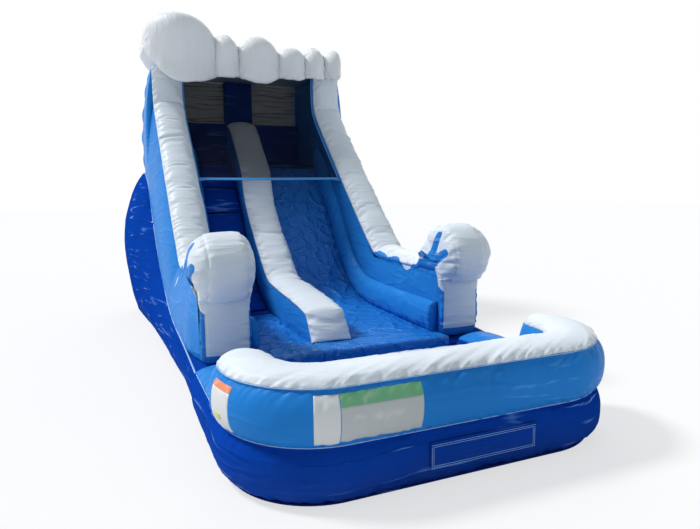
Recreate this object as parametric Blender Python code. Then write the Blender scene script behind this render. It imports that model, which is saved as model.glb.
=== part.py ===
"""Inflatable water slide: one climbing lane and one slide lane between tall side walls,
a wave crest over the platform, and a splash pool in front. Front faces -Y, metres, +Z up.
"""

from math import asin, cos, hypot, pi, sin

import bmesh
import bpy
from mathutils import Vector

# Clearance between pieces that touch, and the skin of the hollow chambers
gap = 0.0003
skin = 0.030
sheet_thickness = 0.010

# Lengths along Y, from the pool front to the rear
pool_length = 2.04
runout_length = 1.90
slope_run = 2.41
platform_length = 1.07
rear_wall_depth = 0.35
rear_bulge = 0.22
sleeve_length = 0.42

# Heights
deck_height = 0.445
platform_height = 2.54
wall_rise = 1.56
wall_shelf_height = 1.20
pool_seam_height = 0.448
pool_band_height = 0.412
rim_crown = 0.095

# Widths across X
lane_half_width = 1.125
wall_thickness = 0.45
seam_overhang = 0.115
hull_bulge = 0.42
pool_side_reach = 0.605
pool_wall_thickness = 0.52
pool_corner_radius = 0.78
pool_seam_inset = 0.04
pool_foot_inset = 0.09

# Centre divider
divider_centre = -0.17
divider_width = 0.44
divider_nose_setback = 0.295
divider_nose_lean = 0.23
divider_low_height = 0.43
divider_low_run = 1.65
divider_bend_height = 1.77
divider_bend_run = 2.63
divider_step_lean = 0.07
divider_net_clearance = 0.045
divider_top_share = 0.86
divider_back_length = 0.20
divider_cap_depth = 0.08

# White caps, beds, bolsters and steps
cap_depth = 0.10
cap_edge_share = 0.45
bed_thickness = 0.050
bed_valley_depth = 0.012
slide_channel_count = 4
climb_channel_count = 3
centre_channel_count = 2
platform_channel_count = 7
liner_thickness = 0.004
bolster_height = 0.36
bolster_depth = 0.12
step_count = 6
step_rise = 0.085
step_side_clearance = 0.045
first_step_share = 0.07

# Wave fronts at the pillars
front_setback = 0.15
front_depth = 0.10
head_radius = 0.34
head_forward = 0.24
head_length = 0.475
head_top_height = 1.80

# Net over the front of the platform
net_edge_drop = 0.17
net_thickness = 0.004
net_setback = 0.03
net_seat_width = 0.07
net_corner_radius = 0.17
binding_width = 0.035
binding_thickness = 0.012
webbing_width = 0.050
webbing_thickness = 0.006
gusset_length = 0.12
gusset_drop = 0.09

# Rear wall, columns and windows
sill_rise = 0.82
column_width = 0.48
column_crown = 0.05
column_channel_count = 4
window_thickness = 0.006

# Wave crest over the platform
crest_left = -1.68
crest_front_reach = 0.28
crest_rear_reach = 0.10
crest_seam_draw = 0.10
crest_lip_depth = 0.11
crest_lip_slope = 3
crest_widths = (1.07, 0.38, 0.68, 0.46, 0.36, 0.36)
crest_heights = (0.86, 0.60, 0.64, 0.49, 0.53, 0.52)
crest_leans = (0.50, 0.30, 0.36, 0.26, 0.28, 0.28)
crest_lip_drops = (0.23, 0.14, 0.19, 0.11, 0.06, 0.04)
crest_seam_height = 0.45

# Pool rim arms and the low bumpers at the side exits
arm_length = 1.07
arm_end_taper = 0.22
bumper_height = 0.10
pool_floor_thickness = 0.010

# Drain zip with its cover flap, on the front of the base
zip_centre = 0.13
zip_length = 0.89
zip_height = 0.255
zip_tape_height = 0.034
zip_tape_thickness = 0.003
slider_length = 0.030
slider_height = 0.018
slider_thickness = 0.006
flap_drop = 0.20
flap_overhang = 0.03
flap_thickness = 0.003
hem_radius = 0.0065

# Inflation sleeve and its tie band at the rear
sleeve_radius = 0.14
sleeve_centre = -1.15
sleeve_floor_clearance = 0.012
tie_width = 0.025
tie_thickness = 0.004

# Anchor tabs and D-rings at the foot of the rear
anchor_side_reach = 0.375
tab_length = 0.13
tab_thickness = 0.006
tab_end_radius = 0.0090
ring_wire_radius = 0.0035
ring_inner_width = 0.052
ring_length = 0.050
ring_bore_radius = 0.0042

# Shares of the sizes above that give the curved profiles
slope_run_shares = (0.0, 0.195, 0.36, 0.506, 0.71, 0.917, 1.0)
slope_rise_shares = (0.0, 0.031, 0.131, 0.279, 0.604, 0.885, 1.0)
seam_run_shares = (0.0, 0.13, 0.36, 0.495, 0.58, 0.665, 0.76, 0.81, 0.91, 1.0)
seam_rise_shares = (0.0, 0.03, 0.055, 0.195, 0.31, 0.46, 0.67, 0.87, 0.985, 1.0)
wall_top_shares = (0.0, 0.09, 0.342, 0.45, 0.58, 0.70, 0.828, 0.828, 0.92, 1.0)
wall_swell_shares = (0.0, 0.6, 1.0, 1.0, 1.0, 1.0, 1.0, 1.0, 1.0, 0.6)
wall_inner_swell_shares = (0.0, 0.5, 1.0, 1.0, 1.0, 1.0, 1.0, 1.0, 0.0, 0.0)
knee_index = 2
bend_index = 6
bend_rise_share = 0.788
bulge_run_shares = (0.06, 0.07, 0.20, 0.40, 0.52, 0.65, 0.80, 0.87, 0.97, 1.0)
foot_run_shares = (0.0, 0.0, 0.02, 0.14, 0.26, 0.37, 0.48, 0.55, 0.67, 0.76)
side_height_shares = (1.0, 0.86, 0.66, 0.44, 0.22)
side_bulge_shares = (0.0, 0.50, 0.88, 1.0, 0.80)
foot_height_shares = (0.10, 0.0)
pillow_shares = ((1.0, 0.0), (0.35, 0.6), (0.0, 1.0))
crest_swell_shares = ((0.0, 0.0), (0.06, 0.46), (0.20, 0.84), (0.5, 1.0), (0.80, 0.84), (0.94, 0.46),
                      (1.0, 0.0))
crest_seam_lean_share = 0.5
tube_side_shares = ((1.0, 0.0), (0.2, 0.2), (0.0, 0.35), (0.0, 0.8), (0.3, 0.92), (1.0, 1.0))
arm_taper_shares = (0.30, 0.72, 0.95)
bumper_end_shares = ((0.0, 0.55), (0.1, 0.9), (0.3, 1.0), (0.7, 1.0), (0.9, 0.9), (1.0, 0.55))
step_crown_shares = (0.35, 0.75, 0.95, 1.0, 0.95, 0.75, 0.35)
sleeve_shares = ((0.0, 1.0), (0.18, 0.97), (0.42, 0.86), (0.5, 0.84), (0.56, 0.84), (0.62, 0.85),
                 (0.82, 0.95), (1.0, 1.0))
tie_share = 0.53
head_arc_shares = (0.20, 1.08)
flap_hem_shares = (-0.30, 1.60)
arm_place_shares = (0.0, 0.2, 0.55, 1.0)
crest_round_power = 0.75
rim_round_power = 0.6
crown_power = 0.5
channel_power = 0.7
baffle_shares = (0.30, 0.75)
shoulder_drop = 0.12
wall_side_bulge = 0.06
wall_inner_bulge = 0.035

# Places that follow from the sizes
flap_reach = zip_tape_thickness + slider_thickness + flap_thickness + 6 * gap
overall_length = (flap_reach + pool_length + runout_length + slope_run + platform_length
                  + rear_wall_depth + rear_bulge + sleeve_length)
pool_front_y = flap_reach - overall_length / 2
deck_y = pool_front_y + pool_length
foot_y = deck_y + runout_length
lip_y = foot_y + slope_run
rear_wall_y = lip_y + platform_length
rear_y = rear_wall_y + rear_wall_depth
hull_rear_y = rear_y + rear_bulge
column_y = deck_y + front_setback
wall_front_y = column_y + front_depth
wall_outer = lane_half_width + wall_thickness
seam_half_width = wall_outer + seam_overhang
pool_half_width = lane_half_width + pool_side_reach
wall_top_height = platform_height + wall_rise
sill_height = platform_height + sill_rise
net_edge_height = platform_height - net_edge_drop
anchor_spacing = 2 * (lane_half_width + anchor_side_reach)
divider_left = divider_centre - divider_width / 2
divider_right = divider_centre + divider_width / 2
base_height = sheet_thickness + gap
lane_edge = lane_half_width - gap

colours = {
    "dark_blue_vinyl": (0.012, 0.075, 0.42),
    "light_blue_vinyl": (0.035, 0.26, 0.78),
    "white_vinyl": (0.80, 0.82, 0.84),
    "liner_blue_vinyl": (0.02, 0.15, 0.55),
    "black_mesh": (0.012, 0.014, 0.018),
    "grey_mesh": (0.12, 0.11, 0.10),
    "webbing_blue": (0.04, 0.24, 0.70),
    "zip_black": (0.015, 0.015, 0.018),
    "ring_steel": (0.62, 0.63, 0.65),
}
roughness_values = {"ring_steel": 0.28, "black_mesh": 0.75, "grey_mesh": 0.75, "webbing_blue": 0.60,
                    "zip_black": 0.55}
vinyl_roughness = 0.36
sharp_turn = pi / 5
mitre_limit = 0.5


def clear_scene():
    for old in list(bpy.data.objects):
        bpy.data.objects.remove(old, do_unlink=True)


def finish_for(name, slot):
    """A material of its own for one piece."""
    made = bpy.data.materials.new(f"{name}_{slot}")
    made.use_nodes = True
    shader = made.node_tree.nodes["Principled BSDF"]
    shader.inputs["Base Color"].default_value = (*colours[slot], 1.0)
    shader.inputs["Roughness"].default_value = roughness_values.get(slot, vinyl_roughness)
    shader.inputs["Metallic"].default_value = 1.0 if slot == "ring_steel" else 0.0
    return made


def object_from(name, bm, slot, smooth=True):
    """Turns a bmesh into a named object with its own material."""
    bmesh.ops.recalc_face_normals(bm, faces=bm.faces)
    mesh = bpy.data.meshes.new(name)
    bm.to_mesh(mesh)
    bm.free()
    piece = bpy.data.objects.new(name, mesh)
    bpy.context.scene.collection.objects.link(piece)
    mesh.materials.append(finish_for(name, slot))
    if smooth:
        mesh.shade_smooth()
        mesh.set_sharp_from_angle(angle=sharp_turn)
    return piece


def loft(loops, close_loops=True, cap_ends=True, ring=False):
    """Joins equal loops of points with faces. A ring of loops closes on itself."""
    bm = bmesh.new()
    rings = [[bm.verts.new(point) for point in loop] for loop in loops]
    count = len(rings[0])
    spans = count if close_loops else count - 1
    following = rings[1:] + (rings[:1] if ring else [])
    for here, there in zip(rings, following):
        for i in range(spans):
            j = (i + 1) % count
            bm.faces.new((here[i], here[j], there[j], there[i]))
    if cap_ends and not ring:
        bm.faces.new(list(reversed(rings[0])))
        bm.faces.new(rings[-1])
    return bm


def box_between(low, high):
    corners = [[Vector((x, y, z)) for x, y in ((low[0], low[1]), (high[0], low[1]), (high[0], high[1]),
                                               (low[0], high[1]))] for z in (low[2], high[2])]
    return loft(corners)


def thicken(piece):
    """Gives an open skin its thickness, inwards."""
    wall = piece.modifiers.new("skin", "SOLIDIFY")
    wall.thickness = skin
    wall.offset = -1.0
    wall.use_even_offset = True
    wall.use_quality_normals = True
    return piece


def path_normals(path):
    """Mitred normals of an open path in the YZ plane, to the left of its direction."""
    legs = [Vector((b[0] - a[0], b[1] - a[1])).normalized() for a, b in zip(path, path[1:])]
    sides = [Vector((-leg.y, leg.x)) for leg in legs]
    result = [sides[0]]
    for before, after in zip(sides, sides[1:]):
        middle = (before + after).normalized()
        result.append(middle / max(middle.dot(before), mitre_limit))
    result.append(sides[-1])
    return result


def shifted(path, distance):
    """The path moved sideways by a distance."""
    return [(p[0] + n.x * distance, p[1] + n.y * distance)
            for p, n in zip(path, path_normals(path))]


def inset_outline(outline, distance):
    """A closed outline in the YZ plane, counter-clockwise, drawn in by a distance."""
    count = len(outline)
    result = []
    for i in range(count):
        before, here, after = outline[i - 1], outline[i], outline[(i + 1) % count]
        first = Vector((here[0] - before[0], here[1] - before[1])).normalized()
        second = Vector((after[0] - here[0], after[1] - here[1])).normalized()
        normal = Vector((-first.y - second.y, first.x + second.x)).normalized()
        share = max(normal.dot(Vector((-first.y, first.x))), mitre_limit)
        result.append((here[0] + normal.x * distance / share, here[1] + normal.y * distance / share))
    return result


def rounded(path, radius, steps=4):
    """Replaces each inner corner of an open path by an arc-like curve."""
    result = [path[0]]
    for before, here, after in zip(path, path[1:], path[2:]):
        start = Vector((before[0] - here[0], before[1] - here[1]))
        end = Vector((after[0] - here[0], after[1] - here[1]))
        reach = min(radius, start.length / 2, end.length / 2)
        corner = Vector(here)
        a = corner + start.normalized() * reach
        b = corner + end.normalized() * reach
        for k in range(steps + 1):
            t = k / steps
            point = a * (1 - t) ** 2 + corner * 2 * t * (1 - t) + b * t ** 2
            result.append((point.x, point.y))
    result.append(path[-1])
    return result


def height_on(path, y):
    """Height of a YZ path at one place along Y."""
    if y <= path[0][0]:
        return path[0][1]
    for a, b in zip(path, path[1:]):
        if a[0] <= y <= b[0] and b[0] > a[0]:
            return a[1] + (b[1] - a[1]) * (y - a[0]) / (b[0] - a[0])
    return path[-1][1]


def part_of(path, start_y, end_y):
    """The stretch of a YZ path between two places along Y."""
    inner = [p for p in path if start_y + gap < p[0] < end_y - gap]
    return [(start_y, height_on(path, start_y))] + inner + [(end_y, height_on(path, end_y))]


def path_length(path):
    return sum(hypot(b[0] - a[0], b[1] - a[1]) for a, b in zip(path, path[1:]))


def stretch_of(path, begin, end):
    """The stretch of a path between two distances along it, with the corners on the way."""
    points = [point_along(path, begin)]
    travelled = 0.0
    for a, b in zip(path, path[1:]):
        travelled += hypot(b[0] - a[0], b[1] - a[1])
        if begin + 2 * gap < travelled < end - 2 * gap:
            points.append(b)
    return points + [point_along(path, end)]


def point_along(path, distance):
    for a, b in zip(path, path[1:]):
        leg = hypot(b[0] - a[0], b[1] - a[1])
        if distance <= leg:
            t = distance / leg
            return (a[0] + (b[0] - a[0]) * t, a[1] + (b[1] - a[1]) * t)
        distance -= leg
    return path[-1]


def sweep_path(path, x_low, x_high, section):
    """Carries a section along a YZ path. The section holds (share across, height) points."""
    loops = []
    for point, normal in zip(path, path_normals(path)):
        loops.append([Vector((x_low + share * (x_high - x_low), point[0] + normal.x * height,
                              point[1] + normal.y * height)) for share, height in section])
    return loft(loops)


def crown_section(depth, edge_share, points=7):
    """A flat-backed section with a round crown, whose edges are a share of its depth high."""
    section = [(0.0, 0.0)]
    for k in range(points):
        t = k / (points - 1)
        section.append((t, depth * (edge_share + (1 - edge_share) * sin(pi * t) ** crown_power)))
    section.append((1.0, 0.0))
    return section


def channel_section(depth, count, points=4):
    """A flat-backed section whose top has round channels side by side."""
    section = [(0.0, 0.0)]
    for k in range(count * points + 1):
        rise = abs(sin(pi * k / points)) ** channel_power
        section.append((k / (count * points), depth - bed_valley_depth * (1 - rise)))
    section.append((1.0, 0.0))
    return section


def cushion(outline, x_low, x_high, rim):
    """An outline in the YZ plane filled across X, with its side edges drawn in."""
    near = [(x_low + rim * across, rim * inset) for inset, across in pillow_shares]
    far = [(x_low + x_high - x, inset) for x, inset in reversed(near)]
    return loft([[Vector((x, y, z)) for y, z in inset_outline(outline, inset)] for x, inset in near + far])


def slope_path():
    """The top of the hull between the walls: deck, slope, platform."""
    rise = platform_height - deck_height
    path = [(deck_y, deck_height)]
    path += [(foot_y + slope_run * run, deck_height + rise * up)
             for run, up in zip(slope_run_shares, slope_rise_shares)]
    path.append((rear_y, platform_height))
    return path


def lane_path(lift):
    """The hull's top, moved up by a lift square to the slope."""
    return shifted(slope_path(), lift)


def seam_path():
    """The outer seam between the hull and the side walls."""
    rise = platform_height - shoulder_drop / 2 - pool_seam_height
    length = rear_y - deck_y
    return [(deck_y + length * run, pool_seam_height + rise * up)
            for run, up in zip(seam_run_shares, seam_rise_shares)]


def hull_swell(y, shares):
    """A length that grows along the hull as a table of shares says."""
    run = (y - deck_y) / (rear_y - deck_y)
    return hull_bulge * height_on(list(zip(seam_run_shares, shares)), run)


def foot_x(y):
    """Half width of the hull on the ground at one place along Y."""
    return seam_half_width - pool_foot_inset + hull_swell(y, foot_run_shares)


def side_section(seam_height, top_height, y, inset=0.0):
    """X and Z of the hull's half section, from its top edge down to the ground."""
    bulge = hull_swell(y, bulge_run_shares)
    inner = lane_half_width - gap - inset
    points = [(inner, top_height), (inner, min(top_height, seam_height) - shoulder_drop / 4)]
    tall = seam_height - base_height
    for up, out in zip(side_height_shares, side_bulge_shares):
        points.append((seam_half_width - inset + bulge * out, base_height + tall * up))
    for up in foot_height_shares:
        points.append((foot_x(y) - inset, base_height + tall * up))
    return points


def whole_section(y, half):
    right = [Vector((x, y, z)) for x, z in half]
    left = [Vector((-x, y, z)) for x, z in reversed(half)]
    return left + right


def make_slide_hull():
    """Dark blue chamber under the deck, the slope and the platform."""
    top, seam = slope_path(), seam_path()
    places = sorted(y for y, _ in top + seam + [(wall_front_y, 0), (rear_wall_y, 0)])
    stations = [y for y, after in zip(places, places[1:] + [2 * rear_y]) if after - y > skin]
    loops = [whole_section(y, side_section(height_on(seam, y), height_on(top, y), y)) for y in stations]
    for k in (1, 2, 3):
        angle = pi / 2 * k / 3
        inset = rear_bulge / 2 * (1 - cos(angle))
        half = side_section(height_on(seam, rear_y) - inset, platform_height - inset, rear_y, inset)
        loops.append(whole_section(rear_y + rear_bulge * sin(angle), half))
    return thicken(object_from("slide_hull", loft(loops, close_loops=False), "dark_blue_vinyl"))


def foot_outline():
    """Plan of the hull's right foot, from the deck to the rear."""
    right = [(foot_x(y), y) for y, _ in seam_path()]
    return right + [(foot_x(rear_y) - rear_bulge / 2, hull_rear_y)]


def make_ground_sheet():
    """Sheet under the whole slide, which closes the hull from below."""
    inset = pool_foot_inset
    outline = pool_path(pool_half_width - inset, pool_corner_radius - inset, pool_front_y + inset, deck_y)
    outline += foot_outline()
    outline += [(-x, y) for x, y in reversed(foot_outline())]
    bm = loft([[Vector((x, y, z)) for x, y in outline] for z in (0, sheet_thickness)])
    object_from("ground_sheet", bm, "dark_blue_vinyl", smooth=False)


def make_platform_baffles():
    """Upright fabric webs that hold the platform's shape inside the hull."""
    half = lane_half_width - 2 * skin
    for word, share in zip(("front", "rear"), baffle_shares):
        y = lip_y + platform_length * share
        bm = box_between((-half, y - liner_thickness / 2, base_height),
                         (half, y + liner_thickness / 2, platform_height - skin - gap))
        object_from(f"platform_baffle_{word}", bm, "dark_blue_vinyl", smooth=False)


def wall_paths():
    """Bottom and top paths of a side wall, with as many points each."""
    seam = seam_path()
    bottom = [(wall_front_y, height_on(seam, wall_front_y + skin))] + seam[1:-1]
    bottom.append((rear_wall_y, height_on(seam, rear_wall_y)))
    length = rear_wall_y - wall_front_y
    places = [wall_front_y + length * run for run in wall_top_shares]
    rise = wall_top_height - gap - wall_shelf_height
    knee, bend = places[knee_index], places[bend_index]
    top = []
    for i, y in enumerate(places):
        climbed = bend_rise_share * (y - knee) / (bend - knee) if i <= bend_index else 1.0
        top.append((y, wall_shelf_height + rise * max(climbed, 0.0)))
    return bottom, top


def wall_corners():
    """Knee and bend of a wall's top edge, and its upper end."""
    top = wall_paths()[1]
    return top[knee_index], top[bend_index], top[bend_index + 1]


def make_side_wall(side, name):
    """Light blue wall chamber. Its lower rim stands on the hull's seam."""
    bottom, top = wall_paths()
    bolster_reach = bed_thickness + bolster_height + 3 * skin
    hull_top = slope_path()
    bend_height = top[bend_index][1]
    rows = 6
    loops = []
    for i, ((yb, zb), (yt, zt)) in enumerate(zip(bottom, top)):
        loop = []
        for k in range(rows):
            t = k / (rows - 1)
            swell = wall_side_bulge * wall_swell_shares[i] * sin(pi * t)
            x = seam_half_width + (wall_outer - seam_half_width) * t + swell
            loop.append(Vector((side * x, yb + (yt - yb) * t, zb + gap + (zt - zb - gap) * t)))
        low = min(height_on(hull_top, yb), zb) + shoulder_drop / 4
        clear = first_clear((yb, low), (yt, zt), bolster_reach)
        seat = max((min(zt, bend_height) - net_seat_width - low) / (zt - low), clear)
        shares = [1.0, seat] + [seat + (clear - seat) * m / 4 for m in (1, 2, 3)] + [clear, 0.0]
        for t in shares:
            across = (t - clear) / max(seat - clear, gap)
            swell = wall_inner_bulge * wall_inner_swell_shares[i] * sin(pi * min(max(across, 0.0), 1.0))
            x = side * (lane_half_width - swell)
            loop.append(Vector((x, yb + (yt - yb) * t, low + (zt - low) * t)))
        loops.append(loop)
    return thicken(object_from(name, loft(loops, close_loops=False), "light_blue_vinyl"))


def first_clear(start, end, reach):
    """Share of the way from start to end at which the lane's pieces are left behind."""
    lane = slope_path()
    steps = 60
    for k in range(1, steps - 2):
        point = Vector(start).lerp(Vector(end), k / steps)
        if point.y > height_on(lane, point.x) and distance_to(lane, point) > reach:
            return k / steps
    return 1 - 2 / steps


def distance_to(path, point):
    """Least distance of a point to a YZ path."""
    nearest = []
    for a, b in zip(path, path[1:]):
        leg = Vector((b[0] - a[0], b[1] - a[1]))
        along = min(max((point - Vector(a)).dot(leg) / leg.length_squared, 0.0), 1.0)
        nearest.append((point - Vector(a) - leg * along).length)
    return min(nearest)


def make_rear_column(side, name):
    """Upright chamber behind each wall, drawn in at its channels."""
    low = height_on(seam_path(), rear_y) + gap
    steps = column_channel_count * 4
    inner = lane_half_width + gap
    loops = []
    for k in range(steps + 1):
        t = k / steps
        crown = column_crown * abs(sin(pi * k / 4)) ** channel_power
        outer = seam_half_width + (wall_outer - seam_half_width) * t
        outer = max(outer + wall_side_bulge * sin(pi * t) - column_crown + crown, inner + skin)
        z = low + (wall_top_height - gap - low) * t
        corners = ((inner, rear_wall_y + gap), (outer, rear_wall_y + gap), (outer, rear_y - column_crown),
                   (outer - column_crown, rear_y + crown - gap), (inner, rear_y + crown - gap))
        loops.append([Vector((side * x, y, z)) for x, y in corners])
    return object_from(name, loft(loops), "light_blue_vinyl")


def wall_base_height():
    return height_on(seam_path(), wall_front_y) + gap


def wave_front_outline():
    """Side view of the white front: a column with a round wave head that leans forward."""
    back, foot = wall_front_y - gap, wall_base_height()
    head_back, shelf = wall_front_y + head_length, wall_shelf_height + gap
    outline = [(back, foot), (back, shelf), (head_back, shelf), (head_back, shelf + cap_depth)]
    centre_y = column_y + head_radius - head_forward + skin
    centre_z = head_top_height - head_radius
    steps = 9
    for k in range(steps):
        angle = pi * head_arc_shares[0] + pi * head_arc_shares[1] * k / (steps - 1)
        outline.append((centre_y + head_radius * cos(angle), centre_z + head_radius * sin(angle)))
    waist = wall_shelf_height - cap_depth
    outline += [(column_y - skin / 2, waist), (column_y, waist - cap_depth),
                (column_y - skin / 3, (waist + foot) / 2), (column_y, foot + cap_depth),
                (column_y + skin, foot)]
    return outline


def make_wave_front(side, name):
    low, high = sorted((side * (lane_half_width + gap), side * wall_outer))
    return object_from(name, cushion(wave_front_outline(), low, high, skin), "white_vinyl")


def make_wall_cap(side, name):
    """White crowned strip along the wall's level, sloping and upright edge."""
    knee, bend, end = wall_corners()
    start = (wall_front_y + head_length + gap, wall_shelf_height)
    path = shifted([start, knee, bend, end], gap)
    path[-1] = (path[-1][0], wall_top_height - gap)
    low, high = sorted((side * lane_half_width, side * wall_outer))
    bm = sweep_path(path, low, high, crown_section(cap_depth, cap_edge_share))
    return object_from(name, bm, "white_vinyl")


def make_bed(name, x_low, x_high, end_y, channels):
    """Inflated pad on the hull, from the deck's edge up the lane, with channels along it."""
    path = part_of(lane_path(gap), deck_y, end_y)
    section = channel_section(bed_thickness - gap, channels)
    return object_from(name, sweep_path(path, x_low + gap, x_high - gap, section), "dark_blue_vinyl")


def make_liner(name, x_low, x_high, end_y):
    """Loose vinyl sheet over a bed, which hangs over the deck's edge into the pool."""
    path = lane_path(bed_thickness + gap)
    front = deck_y - 2 * gap
    hanging = [(front, base_height + pool_floor_thickness + skin), (front, path[0][1])]
    full = hanging + part_of(path, deck_y + bed_thickness, end_y)
    section = [(0.0, 0.0), (1.0, 0.0), (1.0, liner_thickness), (0.0, liner_thickness)]
    return object_from(name, sweep_path(full, x_low + gap, x_high - gap, section), "liner_blue_vinyl")


def make_bolster(side, name):
    """Light blue bumper along the lower inner edge of a wall, above the bed."""
    lift = bed_thickness + liner_thickness + 3 * gap
    path = part_of(lane_path(lift), wall_front_y, lip_y - bed_thickness)
    section = [(0.0, 0.0), (0.0, bolster_height)]
    steps = 5
    for k in range(1, steps + 1):
        angle = pi / 2 * (1 - k / steps)
        section.append((cos(angle), bolster_height * (cap_edge_share + (1 - cap_edge_share) * sin(angle))))
    section.append((1.0, bolster_height / steps))
    section.append((1.0 - 1 / steps, 0.0))
    wall = side * (lane_edge - gap)
    bm = sweep_path(path, wall, wall - side * bolster_depth, section)
    return object_from(name, bm, "light_blue_vinyl")


def make_climb_steps():
    """Step bolsters across the climbing lane, one above the other on the slope."""
    path = part_of(lane_path(bed_thickness + gap), foot_y, lip_y)
    total = path_length(path)
    first = total * first_step_share
    pitch = (total - first) / step_count
    low = -lane_half_width + bolster_depth + step_side_clearance
    high = divider_left - step_side_clearance
    for k in range(step_count):
        begin = first + pitch * k + gap
        end = first + pitch * (k + 1) - gap
        count = len(step_crown_shares)
        base = [point_along(path, begin + (end - begin) * m / (count - 1)) for m in range(count)]
        foot = shifted(stretch_of(path, begin, end), gap)
        upper = [shifted(base, gap + step_rise * share)[m] for m, share in enumerate(step_crown_shares)]
        bm = cushion(foot + list(reversed(upper)), low, high, skin / 2)
        object_from(f"climb_step_{k + 1}", bm, "dark_blue_vinyl")


def divider_profile():
    """Outer line of the divider's white cap, from its nose to its top end."""
    nose_y = deck_y + divider_nose_setback
    crest_y = nose_y + divider_nose_lean
    floor = deck_height + bed_thickness + liner_thickness + 4 * gap
    low = deck_height + divider_low_height
    under_net = shifted(net_corners(), -divider_net_clearance)
    start, end = Vector(under_net[0]), Vector(under_net[1])
    top = start.lerp(end, divider_top_share)
    step = start.lerp(end, divider_nose_lean / (end - start).length)
    return [(nose_y, floor), (crest_y, low), (crest_y + divider_low_run, low + cap_depth),
            (crest_y + divider_bend_run, divider_bend_height),
            (step.x - divider_step_lean, (step.y + divider_bend_height) / 2), tuple(step), tuple(top),
            (top.x + divider_back_length, top.y)]


def make_divider():
    """Blue divider between the lanes, and the white cap over its nose and top."""
    profile = rounded(divider_profile(), cap_depth, steps=3)
    seat = shifted(profile, -divider_cap_depth)
    seat[0] = (profile[0][0] + divider_cap_depth, profile[0][1])
    floor = part_of(lane_path(gap), seat[0][0], seat[-1][0])
    outline = floor + list(reversed(seat))
    low, high = divider_left, divider_right
    bm = loft([[Vector((x, y, z)) for y, z in outline] for x in (low, high)])
    under = [face for face in bm.faces if is_under(face, floor)]
    bmesh.ops.delete(bm, geom=under, context="FACES_ONLY")
    thicken(object_from("divider_body", bm, "light_blue_vinyl"))
    bm = sweep_path(shifted(seat, gap), low, high, crown_section(divider_cap_depth - gap, cap_edge_share))
    object_from("divider_cap", bm, "white_vinyl")


def is_under(face, floor):
    """Whether a face lies along the floor path."""
    return len(face.verts) == 4 and all(abs(v.co.z - height_on(floor, v.co.y)) < gap for v in face.verts)


def crowned_panel(name, low, high, slot):
    """Upright inflated panel whose front and back are crowned."""
    lower = [(inset, share / 2) for inset, share in pillow_shares]
    upper = [(inset, 1 - share) for inset, share in reversed(lower)]
    loops = []
    for inset, t in lower + upper:
        z = low[2] + (high[2] - low[2]) * t
        loops.append([Vector((x, y, z)) for x, y in ((low[0], low[1] + skin * inset),
                                                     (high[0], low[1] + skin * inset),
                                                     (high[0], high[1] - skin * inset),
                                                     (low[0], high[1] - skin * inset))])
    return object_from(name, loft(loops), slot)


def make_platform():
    """Pad on the platform, rear wall, centre column and the two mesh windows."""
    half = lane_edge - gap
    start = divider_profile()[-1][0] + 2 * gap
    path = [(start, platform_height + gap), (rear_wall_y - gap, platform_height + gap)]
    bm = sweep_path(path, -half, half, channel_section(bed_thickness, platform_channel_count))
    object_from("platform_pad", bm, "liner_blue_vinyl")
    top = wall_top_height - gap
    crowned_panel("rear_lower_wall", (-half, rear_wall_y, platform_height + gap),
                  (half, rear_y, sill_height - gap), "dark_blue_vinyl")
    crowned_panel("rear_centre_column", (-column_width / 2, rear_wall_y, sill_height),
                  (column_width / 2, rear_y, top), "dark_blue_vinyl")
    middle = (rear_wall_y + rear_y) / 2
    for name, side in (("rear_window_left", -1), ("rear_window_right", 1)):
        low, high = sorted((side * (column_width / 2 + gap), side * half))
        bm = box_between((low, middle - window_thickness / 2, sill_height),
                         (high, middle + window_thickness / 2, top))
        object_from(name, bm, "grey_mesh", smooth=False)


def crest_loop(x, front, back, width_share, tall, lean_reach, drop):
    """One open hoop of the crest, from its rear foot over the top to its hanging front lip."""
    centre = (front + back) / 2
    reach = (back - front) / 2 * width_share
    foot = wall_top_height + gap
    steps = 10
    points = []
    for k in range(steps + 1):
        angle = pi * k / steps
        turned = pi * min(max(k, 1), steps - 1) / steps
        out = abs(cos(turned)) ** crest_round_power * (1 if cos(turned) > 0 else -1)
        out /= cos(pi / steps) ** crest_round_power
        lean = lean_reach * max(sin(angle) - sin(pi / steps), 0)
        rise = tall * sin(angle) ** crest_round_power
        points.append(Vector((x, centre + reach * out - lean, foot + rise)))
    lip_end = front + crest_lip_depth
    lip_front = points[-1].y + (lip_end - points[-1].y) / crest_lip_slope
    points.append(Vector((x, lip_front, foot - drop)))
    points.append(Vector((x, lip_end, foot)))
    return points


def make_crest():
    """Six white wave bulges side by side over the platform."""
    front = wall_corners()[1][0] - crest_front_reach
    back = rear_y + crest_rear_reach
    x = crest_left
    sizes = zip(crest_widths, crest_heights, crest_leans, crest_lip_drops)
    for index, (width, height, lean, drop) in enumerate(sizes):
        loops = []
        for share, swell in crest_swell_shares:
            reach = 1 - crest_seam_draw * (1 - swell)
            tall = crest_seam_height + (height - crest_seam_height) * swell
            place = x + gap / 2 + (width - gap) * share
            forward = lean * (crest_seam_lean_share + (1 - crest_seam_lean_share) * swell)
            loops.append(crest_loop(place, front, back, reach, tall, forward, drop * (1 + swell) / 2))
        bm = loft(loops, close_loops=False)
        thicken(object_from(f"crest_bulge_{index + 1}", bm, "white_vinyl"))
        x += width


def net_corners():
    """Lower end, bend and upper end of the net's line, set back from the wall's top edge."""
    knee, bend, end = wall_corners()
    share = (net_edge_height - knee[1]) / (bend[1] - knee[1])
    edge_y = knee[0] + (bend[0] - knee[0]) * share
    return shifted([(edge_y, net_edge_height), bend, end], -net_setback)


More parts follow.
